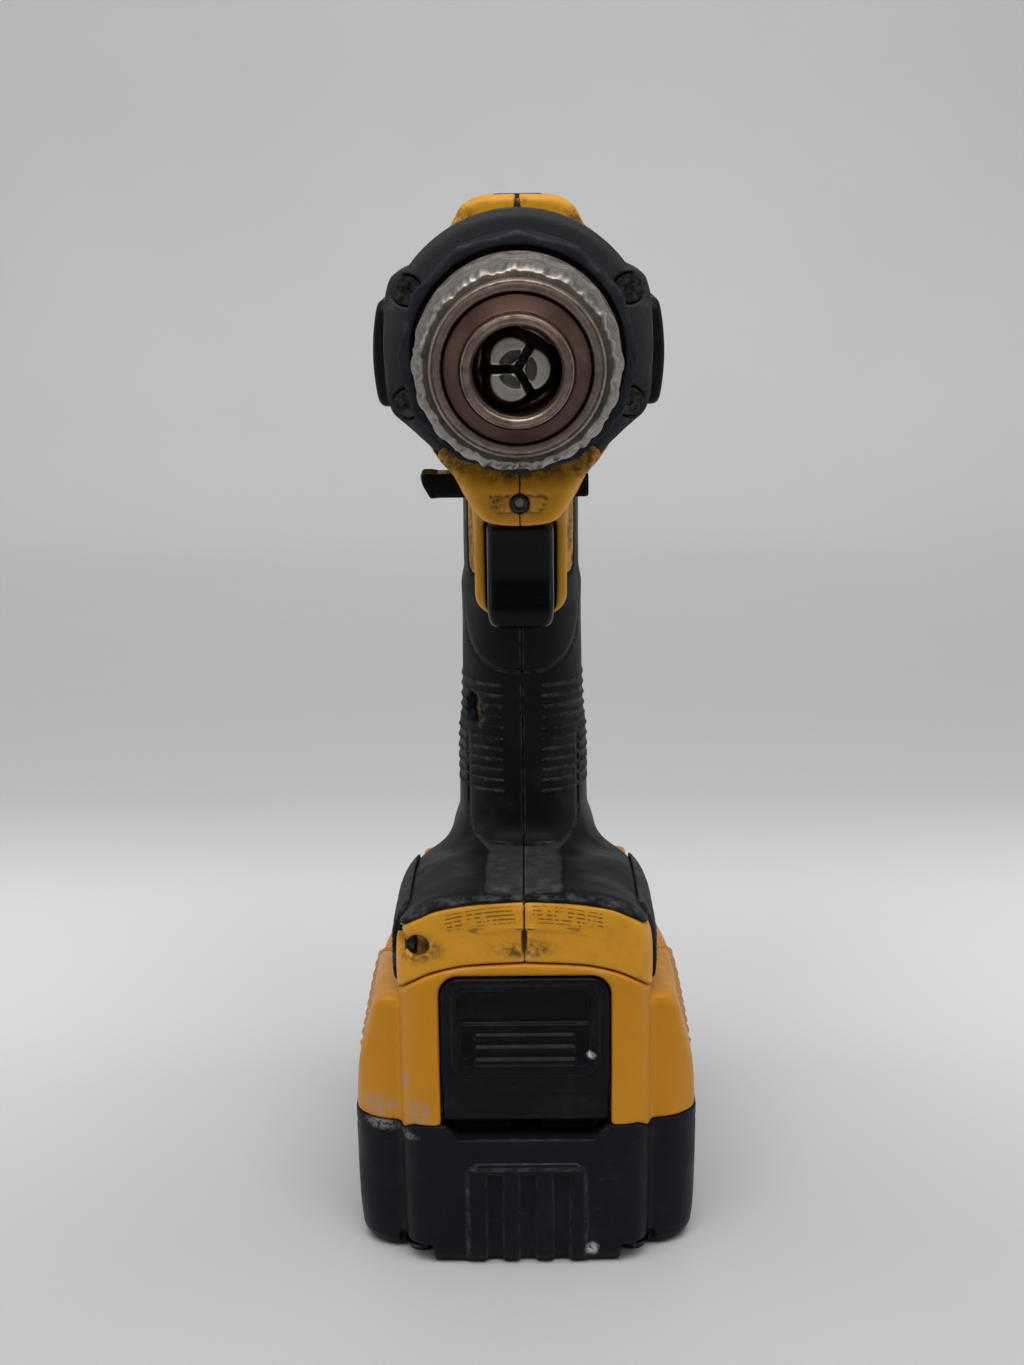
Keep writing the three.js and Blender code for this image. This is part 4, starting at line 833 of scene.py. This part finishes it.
def yellow_plastic(name, amber, soot=(), scuffs=(), dark=(), grime=0.5, label=False):
    """Amber moulded plastic, darker in its hollows. soot, scuffs and dark list (middle, size) of marks in mm; the
    dark marks are painted shade inside holes and slots.
    """
    p = Paint(name, Specular_IOR_Level=0.3)
    broad = p.noise(38, 3)
    base = p.mix(
        broad, (amber[0] * 0.93, amber[1] * 0.9, amber[2]), (amber[0] * 1.05, amber[1] * 1.07, amber[2] * 1.6)
    )
    speck = p.within(p.noise(1.3, 4, 0.7), 0.66, 0.8)
    patchy = p.within(p.noise(9, 5, 0.7), 0.42, 0.72)
    handled = p.times(patchy, p.noise(2.2, 3))
    grime_and_shade = p.within(p.plus(p.mark("hollow"), p.times(p.noise(3.2, 4, 0.7), 0.25)), 0.28, 0.62)
    grime_and_shade = p.math("MAXIMUM", grime_and_shade, p.times(speck, 0.5))
    grime_and_shade = p.math("MAXIMUM", grime_and_shade, p.times(handled, grime))
    for middle, size in soot:
        cloud = p.times(p.near(middle, size), p.within(p.noise(2.6, 5, 0.75), 0.36, 0.62))
        grime_and_shade = p.math("MAXIMUM", grime_and_shade, cloud)
    # painted shade: solid darkening inside the holes and slots listed in dark
    for middle, size in dark:
        grime_and_shade = p.math("MAXIMUM", grime_and_shade, p.within(p.near(middle, size), 0.1, 0.7, (0.0, 1.18)))
    if label:
        grime_and_shade = p.math("MAXIMUM", grime_and_shade, p.times(printed_label(p), 0.8))
    # grime, soot and painted shade all darken towards this same near-black
    color = p.mix(p.times(grime_and_shade, 0.82), base, SOOT_AND_SHADE)
    wear = p.times(p.within(p.mark("edge"), 0.28, 0.7), p.within(p.noise(4, 4, 0.7), 0.45, 0.7))
    color = p.mix(p.times(wear, 0.35), color, (0.75, 0.5, 0.2))
    for middle, size in scuffs:
        patch = p.times(p.near(middle, size), p.within(p.noise(1.6, 5, 0.8), 0.42, 0.55))
        color = p.mix(p.times(patch, 0.85), color, (0.42, 0.27, 0.19))
    rough = p.plus(p.within(p.noise(14, 3), 0.3, 0.7, (0.36, 0.5)), p.times(grime_and_shade, 0.3))
    return p.finish(color, rough, [(p.noise(0.55, 2), 0.03), (p.noise(7, 3), 0.05)])


def black_plastic(
    name, color=(0.0085, 0.0095, 0.012), roughness=(0.42, 0.6), grain=0.5, depth=0.05, dust=0.3, wear=0.5,
    scuffs=()
):
    """Moulded or rubber skin, dark, with dust in its hollows and pale worn edges."""
    p = Paint(name, Specular_IOR_Level=0.1)
    base = p.mix(p.noise(24, 3), [c * 0.8 for c in color], [c * 1.35 for c in color])
    dusty = p.within(p.plus(p.mark("hollow"), p.times(p.noise(2.4, 4, 0.7), 0.3)), 0.3, 0.8)
    film = p.within(p.noise(12, 5, 0.75), 0.5, 0.75)
    color_out = p.mix(p.times(p.plus(dusty, p.times(film, 0.5)), dust), base, (0.07, 0.066, 0.06))
    worn = p.times(p.within(p.mark("edge"), 0.3, 0.75), p.within(p.noise(3, 4, 0.7), 0.4, 0.68))
    color_out = p.mix(p.times(worn, wear), color_out, (0.09, 0.092, 0.1))
    scratch = p.within(p.noise(5, 2, 0.5, (1, 1, 14)), 0.7, 0.74)
    color_out = p.mix(p.times(scratch, 0.12), color_out, (0.12, 0.12, 0.125))
    for middle, size, tint in scuffs:
        patch = p.times(p.near(middle, size), p.within(p.noise(1.1, 4, 0.8), 0.4, 0.52))
        color_out = p.mix(patch, color_out, tint)
    rough = p.plus(p.within(p.noise(10, 4), 0.3, 0.7, roughness), p.times(worn, 0.12))
    return p.finish(color_out, rough, [(p.noise(grain, 2, 0.6), depth), (p.noise(6, 3), 0.05)])


def turned_steel(name, color, stain, roughness=(0.28, 0.45), stained=0.5, rings=0.05, behind=None):
    """Worn steel, with fine rings about the spindle, brown stains and another colour behind a given y."""
    p = Paint(name, Metallic=1.0)
    moved = p.node("ShaderNodeVectorMath", {0: p.place, 1: (0, 0, -AXIS * MM)}, operation="ADD").outputs[0]
    flat = p.node("ShaderNodeVectorMath", {0: moved, 1: (1, 0, 1)}, operation="MULTIPLY").outputs[0]
    r = p.node("ShaderNodeVectorMath", {0: flat}, operation="LENGTH").outputs["Value"]
    pair = p.node("ShaderNodeCombineXYZ", {0: r, 1: p.axis(1)}).outputs[0]
    lathe = p.node("ShaderNodeTexNoise", {"Vector": pair, "Scale": 3200.0, "Detail": 2.0}).outputs["Fac"]
    patchy = p.within(p.noise(3.4, 5, 0.72), 0.38, 0.66)
    dark = p.within(p.plus(p.mark("hollow"), p.times(p.noise(1.6, 4), 0.3)), 0.25, 0.6)
    dark = p.math("MAXIMUM", dark, p.mark("dish"))
    shade = p.mix(lathe, [c * 0.78 for c in color], [c * 1.15 for c in color])
    if behind:
        edge_mm, other = behind
        shade = p.mix(p.within(p.axis(1), (edge_mm - 0.2) * MM, (edge_mm + 0.2) * MM), shade, other)
    shade = p.mix(p.times(patchy, stained), shade, stain)
    bright = p.times(p.within(p.mark("edge"), 0.25, 0.6), p.within(p.noise(2.2, 4), 0.35, 0.6))
    shade = p.mix(p.times(bright, 0.6), shade, [min(1, c * 1.7) for c in color])
    shade = p.mix(p.times(dark, 0.75), shade, (0.012, 0.009, 0.008))
    rough = p.plus(p.within(p.noise(2.5, 5, 0.7), 0.3, 0.7, roughness), p.times(dark, 0.25))
    return p.finish(shade, rough, [(lathe, rings * 0.3), (p.noise(0.9, 4, 0.7), rings)])


def plain_finish(name, dark, light, roughness=0.5, metallic=0.0, size=2.0, depth=0.02):
    """A simple uneven finish for inner parts and fasteners."""
    p = Paint(name, Metallic=metallic)
    color = p.mix(p.within(p.noise(size, 4, 0.65), 0.3, 0.7), dark, light)
    rough = p.within(p.noise(size * 1.7, 3), 0.3, 0.7, (roughness - 0.08, roughness + 0.1))
    return p.finish(color, rough, [(p.noise(size * 0.3, 3), depth)])


housing_paint = yellow_plastic(
    "housing_amber",
    (0.7, 0.315, 0.009),
    soot=[
        ((0, -15, 228), (5, 4, 9)),
        ((-14, -15, 228), (9, 5, 6)),
        ((13, -15, 228), (10, 5, 6)),
        ((-14, -38, 181), (7, 9, 7)),
        ((14, -38, 181), (7, 9, 7)),
        ((0, -41, 180), (19, 8, 5)),
        ((-4.5, -43, 172), (2.5, 4, 3)),
        ((-12, -7, 158), (2.5, 14, 17)),
        ((12, -7, 159), (2.5, 14, 16)),
        ((0, -43, 75), (9, 4, 3)),
        ((-24, -42, 75), (9, 6, 5)),
    ],
    # painted shade inside the handle screw recess, the lamp hole, the foot screw hole and the slider slot
    dark=[
        ((-9, 0.6, 118.2), (13, 7, 8)), ((0, -41, LAMP_Z), (3.4, 6, 3.4)), ((-24, -37.6, 75.6), (5, 4.2, 3.8)),
        ((0, -20, 231), (1.4, 14, 6))
    ],
    grime=0.34,
    label=True,
)
battery_paint = yellow_plastic(
    "battery_amber",
    (0.61, 0.25, 0.003),
    scuffs=[((-33, -35, 35.5), (6, 6, 3.6)), ((-24.5, -43, 37), (4.5, 5, 4)), ((-27, -41, 44), (1.6, 4, 3))],
    grime=0.14,
)
grip_rubber = black_plastic("grip_rubber", (0.006, 0.0068, 0.0082), (0.4, 0.56), 0.45, 0.07, 0.45, 0.7)
case_black = black_plastic("case_black", (0.03, 0.031, 0.033), (0.5, 0.68), 0.5, 0.1, 0.35, 0.5)
pack_black = black_plastic(
    "pack_black",
    (0.0065, 0.0078, 0.011),
    (0.36, 0.5),
    0.6,
    0.05,
    0.2,
    0.5,
    scuffs=[
        ((-34, -36, 31), (7, 5, 2), (0.2, 0.19, 0.18)),
        ((14.6, -44, 3.6), (2.1, 4, 2.4), (0.62, 0.6, 0.55)),
        ((-28, -41, 30.8), (6, 4, 1.4), (0.16, 0.15, 0.14)),
    ],
)
gloss_black = black_plastic("gloss_black", (0.0035, 0.0042, 0.0055), (0.14, 0.24), 0.9, 0.012, 0.1, 0.5)
latch_black = black_plastic(
    "latch_black", (0.0045, 0.0052, 0.0068), (0.26, 0.38), 0.6, 0.05, 0.25, 0.28,
    scuffs=[((14.6, -42, 50.4), (1.4, 4, 1.2), (0.7, 0.68, 0.62))],
)
collar_plastic = black_plastic("collar_plastic", (0.014, 0.0165, 0.022), (0.42, 0.6), 0.5, 0.06, 0.45, 1.0)
sleeve_steel = turned_steel(
    "sleeve_steel", (0.31, 0.245, 0.2), (0.15, 0.1, 0.075), (0.34, 0.5), 0.5, 0.05, (-86.5, (0.3, 0.28, 0.255))
)
# painted shade: the concave cone behind the nose ring, past y -93.25, is painted a much darker brown than the nose
# ring
nose_steel = turned_steel(
    "nose_steel", (0.33, 0.25, 0.2), (0.07, 0.04, 0.03), (0.36, 0.52), 0.5, 0.05, (-93.25, (0.085, 0.045, 0.035))
)
jaw_steel = turned_steel("jaw_steel", (0.62, 0.58, 0.52), (0.3, 0.26, 0.22), (0.3, 0.45), 0.3, 0.04)
gear_steel = plain_finish("gear_steel", (0.36, 0.35, 0.33), (0.55, 0.54, 0.52), 0.34, 1.0, 1.5)
dark_steel = plain_finish("dark_steel", (0.09, 0.085, 0.08), (0.2, 0.19, 0.18), 0.42, 1.0, 1.5)
spring_steel = plain_finish("spring_steel", (0.45, 0.45, 0.44), (0.62, 0.62, 0.61), 0.28, 1.0, 2.0, 0.01)
screw_steel = plain_finish("screw_steel", (0.03, 0.028, 0.026), (0.12, 0.11, 0.1), 0.42, 1.0, 1.0)
copper = plain_finish("winding_copper", (0.42, 0.16, 0.07), (0.62, 0.28, 0.13), 0.36, 1.0, 0.8, 0.05)
nylon = plain_finish("fan_nylon", (0.5, 0.48, 0.41), (0.62, 0.6, 0.53), 0.5)
cell_wrap = plain_finish("cell_jacket", (0.02, 0.11, 0.19), (0.03, 0.16, 0.26), 0.36, 0.0, 8.0, 0.01)
board_green = plain_finish("board_green", (0.01, 0.05, 0.018), (0.02, 0.09, 0.03), 0.45, 0.0, 1.2)
inner_black = plain_finish("inner_black", (0.008, 0.009, 0.01), (0.016, 0.017, 0.018), 0.5)


def lens_finish():
    p = Paint("lamp_lens", Transmission_Weight=0.55, IOR=1.49)
    color = p.mix(p.noise(1.2, 3), (0.55, 0.6, 0.62), (0.75, 0.8, 0.82))
    return p.finish(color, p.within(p.noise(0.8, 3), 0.3, 0.7, (0.08, 0.2)), [(p.noise(0.5, 2), 0.02)])


lamp_lens = lens_finish()


# ------------------------------------------------------------------ pieces
def add(piece, body, paint, slot, *nodes):
    piece.data.materials.append(paint)
    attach(piece, body)
    if nodes:
        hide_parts(*nodes)
    return piece


def make(name, field, low, high, voxel, body, paint, slot, *nodes, reach=1.4, marks=None):
    return add(solid(name, field, low, high, voxel, reach, marks), body, paint, slot, *nodes)


def dish_mark(k):
    return lambda x, y, z: np.clip(1.2 - 4 * jaw_dish(x, y, z, k), 0, 1)


for side, word in ((-1, "left"), (1, "right")):
    low, high = sorted((0, side * 30.5))
    make(
        f"{word}_shell", housing_half(side), (low, -44, 62), (high, 95.5, 235), 0.56, "drill", housing_paint,
        "housing_yellow", f"{word}_housing"
    )
    make(
        f"{word}_overmould", grip_half(side), (low, -44, 61), (high, 71, 173), 0.5, "drill", grip_rubber,
        "grip_rubber", f"{word}_grip", reach=0.9
    )
    low, high = sorted((side * 19, side * 31.6))
    make(
        f"{word}_foot_pad", side_pad(side), (low, -34, 63), (high, 51, 85), 0.36, "drill", grip_rubber,
        "grip_rubber", reach=0.8
    )
    low, high = sorted((side * 15, side * 32))
    make(
        f"{word}_side_bumper", bumper_field(side), (low, -15, 189), (high, 47, 213), 0.45, "drill", grip_rubber,
        "grip_rubber", f"{word}_bumper", reach=1.0
    )

make(
    "gear_case_cover", gear_case_field, (-31, -50.5, 177), (31, -7.5, 233), 0.5, "drill", case_black, "case_black",
    "gear_case", reach=1.0
)
make(
    "clutch_ring", collar_field, (-24.5, -57.5, 179.5), (24.5, -34, 228.5), 0.42, "collar", collar_plastic,
    "collar_grey", "clutch_collar", reach=0.9
)
make(
    "chuck_outer_sleeve", sleeve_field, (-21.2, -88.8, 182.8), (21.2, -53, 225.2), 0.38, "sleeve", sleeve_steel,
    "chuck_sleeve_steel", "chuck_sleeve", reach=0.8
)
make(
    "chuck_core", chuck_field, (-19.2, -95.2, 184.8), (19.2, -52.4, 223.2), 0.38, "chuck", nose_steel,
    "chuck_dark_steel", "chuck_body", reach=0.8
)
for k in range(3):
    c, s = jaw_axis(k)
    reach_x = (-4.6 * abs(s) - 0.5 + min(0, c * 14), 4.6 * abs(s) + 0.5 + max(0, c * 14))
    reach_z = (AXIS - 4.6 * abs(c) - 0.5 + min(0, s * 14), AXIS + 4.6 * abs(c) + 0.5 + max(0, s * 14))
    make(
        f"chuck_jaw_{k + 1}", jaw_field(k), (reach_x[0], -90, reach_z[0]), (reach_x[1], -69.5, reach_z[1]), 0.2,
        f"jaw_slide_{k + 1}", jaw_steel, "jaw_steel", f"jaw_{k + 1}", reach=0.5, marks=[("dish", dish_mark(k))]
    )
make(
    "trigger_paddle", trigger_field, (-8, -38.5, 143), (8, -8.5, 167.5), 0.36, "trigger_lever", gloss_black,
    "trigger_gloss", "trigger", reach=0.9
)
make(
    "direction_bar", button_field, (-22, -20, 169), (16, -10, 176.5), 0.34, "direction", gloss_black, "case_black",
    "direction_button", reach=0.7
)
make(
    "speed_slider", selector_field, (-7.5, -23.5, 224), (7.5, 26, 235), 0.34, "speed_shift", gloss_black,
    "case_black", "speed_selector", reach=0.6
)
make(
    "lamp_bezel", bezel_ring, (-2, -43.4, 170), (2, -41.6, 174.6), 0.2, "drill", inner_black, "case_black",
    reach=0.4
)
make(
    "pack_upper_shell", upper_field, (-39.2, -44, 31), (39.2, 76.5, 72), 0.56, "battery", battery_paint,
    "housing_yellow", "battery_upper_case"
)
make(
    "pack_lower_shell", lower_field, (-39.4, -44.6, 0), (39.4, 76.6, 34.4), 0.56, "battery", pack_black,
    "case_black", "battery_lower_case"
)
make(
    "pack_latch", latch_field, (-19, -44.6, 34), (19, -29.5, 69), 0.36, "latch", latch_black, "latch_black",
    "battery_latch", reach=0.8
)

INNER = {
    "gear_steel": (
        gear_steel,
        ["motor_pinion", "spindle", "ring_gear_1", "ring_gear_2"] + [f"planet_gear_{k}" for k in range(1, 7)]
    ),
    "dark_steel": (dark_steel, ["carrier_1", "carrier_2", "chuck_nut", "chuck_screw"]),
    "spring_steel": (
        spring_steel,
        [
            "front_bearing", "rear_bearing", "clutch_spring", "clutch_plate", "motor_can", "trigger_spring",
            "latch_spring"
        ]
    ),
    "copper": (copper, ["motor_armature"]),
    "nylon": (nylon, ["motor_fan"]),
    "cell": (cell_wrap, [f"cell_pair_{k}" for k in range(1, 6)]),
    "board": (board_green, ["battery_board"]),
    "black": (inner_black, ["switch_body", "terminal_block"]),
    "screw": (
        screw_steel,
        [f"gear_case_screw_{k}" for k in range(1, 5)] + [f"housing_screw_{k}" for k in range(1, 4)] + [
            "battery_screw_left", "battery_screw_right"
        ]
    ),
    "lens": (lamp_lens, ["led_lens"]),
}
for paint, names in INNER.values():
    for name in names:
        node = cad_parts[name]
        node.data.materials.clear()
        node.data.materials.append(paint)


# ------------------------------------------------------------------ floor, backdrop, lights and camera
FLOOR_END = 0.9  # the backdrop stands further out than a camera that looks from behind
SWEEP = 0.3  # radius of the bend


def sweep():
    """Floor that curves up into a backdrop, painted with broad bands of light and shade."""
    bend = np.linspace(0.1, math.pi / 2, 12)
    line = [(-1.6, 0.0), (-0.4, 0.0), (0.0, 0.0), (0.5, 0.0), (FLOOR_END, 0.0)]
    line += [(FLOOR_END + SWEEP * math.sin(a), SWEEP - SWEEP * math.cos(a)) for a in bend]
    line += [(FLOOR_END + SWEEP, height) for height in (0.7, 1.2, 1.8)]
    xs = np.linspace(-1.6, 1.6, 9)
    points = np.array([(x, y, z) for y, z in line for x in xs]) / MM
    n = len(xs)
    corners = [j * n + i for j in range(len(line) - 1) for i in range(n - 1)]
    faces = [[c, c + 1, c + n + 1, c + n] for c in corners]
    made = mesh_object("backdrop", points, [np.array(faces)])
    p = Paint("backdrop_paper")
    # painted light and shade: darker floor in front of and under the drill, brighter behind it, a darker band from
    # y 0.2 to 0.36 m and brighter paper further out
    shade = p.mix(p.within(p.axis(1), -0.1, 0.17), (0.55, 0.55, 0.555), (0.82, 0.82, 0.822))
    shade = p.mix(p.within(p.axis(1), 0.2, 0.36), shade, (0.6, 0.606, 0.604))
    shade = p.mix(p.within(p.axis(1), 0.4, 1.15), shade, (0.86, 0.86, 0.86))
    shade = p.mix(p.within(p.noise(300, 2), 0.3, 0.7, (0.0, 0.12)), shade, (0.6, 0.6, 0.605))
    made.data.materials.append(p.finish(shade, p.within(p.noise(60, 2), 0.3, 0.7, (0.55, 0.65))))
    made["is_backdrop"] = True


sweep()


def area_light(name, place, target, size, power):
    data = bpy.data.lights.new(name, "AREA")
    data.shape = "RECTANGLE"
    data.size, data.size_y = size
    data.energy = power
    lamp = bpy.data.objects.new(name, data)
    bpy.context.scene.collection.objects.link(lamp)
    lamp.location = place
    lamp.rotation_euler = (Vector(target) - Vector(place)).to_track_quat("-Z", "Y").to_euler()


area_light("top_softbox", (0.0, -0.42, 0.95), (0, 0, 0.08), (0.9, 0.6), 7.7)
area_light("left_softbox", (-0.85, 0.05, 0.4), (0, 0, 0.12), (0.4, 0.7), 1.1)
area_light("right_softbox", (0.85, 0.05, 0.4), (0, 0, 0.12), (0.4, 0.7), 1.1)
area_light("backdrop_light", (0, 0.5, 1.25), (0, 1.2, 0.15), (1.2, 0.3), 1.6)
world = bpy.data.worlds.new("studio")
world.use_nodes = True
nodes, links = world.node_tree.nodes, world.node_tree.links
direction = nodes.new("ShaderNodeTexCoord").outputs["Generated"]
height = nodes.new("ShaderNodeSeparateXYZ")
links.new(direction, height.inputs[0])
ceiling = nodes.new("ShaderNodeMapRange")
links.new(height.outputs[2], ceiling.inputs["Value"])
for key, value in (("From Min", 0.1), ("From Max", 0.9), ("To Min", 0.07), ("To Max", 0.42)):
    ceiling.inputs[key].default_value = value
links.new(ceiling.outputs[0], nodes["Background"].inputs["Strength"])
nodes["Background"].inputs["Color"].default_value = (0.97, 0.985, 1, 1)
bpy.context.scene.world = world
bpy.context.scene.view_settings.view_transform = "Standard"

FOCAL = 2200.0  # focal length, for an image 1365 high
PICTURE_HEIGHT = 1365
SENSOR = 36.0
TILT, TURN, ROLL = math.radians(13.07), math.atan(18 / FOCAL), math.radians(-0.65)
forward = Vector((-math.sin(TURN) * math.cos(TILT), math.cos(TURN) * math.cos(TILT), -math.sin(TILT)))
right = forward.cross(Vector((0, 0, 1))).normalized()
up = right.cross(forward)
right, up = math.cos(ROLL) * right + math.sin(ROLL) * up, math.cos(ROLL) * up - math.sin(ROLL) * right
camera_data = bpy.data.cameras.new("camera")
camera_data.lens = FOCAL * SENSOR / PICTURE_HEIGHT
camera_data.sensor_width = SENSOR
camera = bpy.data.objects.new("camera", camera_data)
bpy.context.scene.collection.objects.link(camera)
turn = Matrix((right, up, -forward)).transposed().to_4x4()
camera.matrix_world = Matrix.Translation((0.0017, -0.495, 0.2393)) @ turn
bpy.context.scene.camera = camera

low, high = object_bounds()
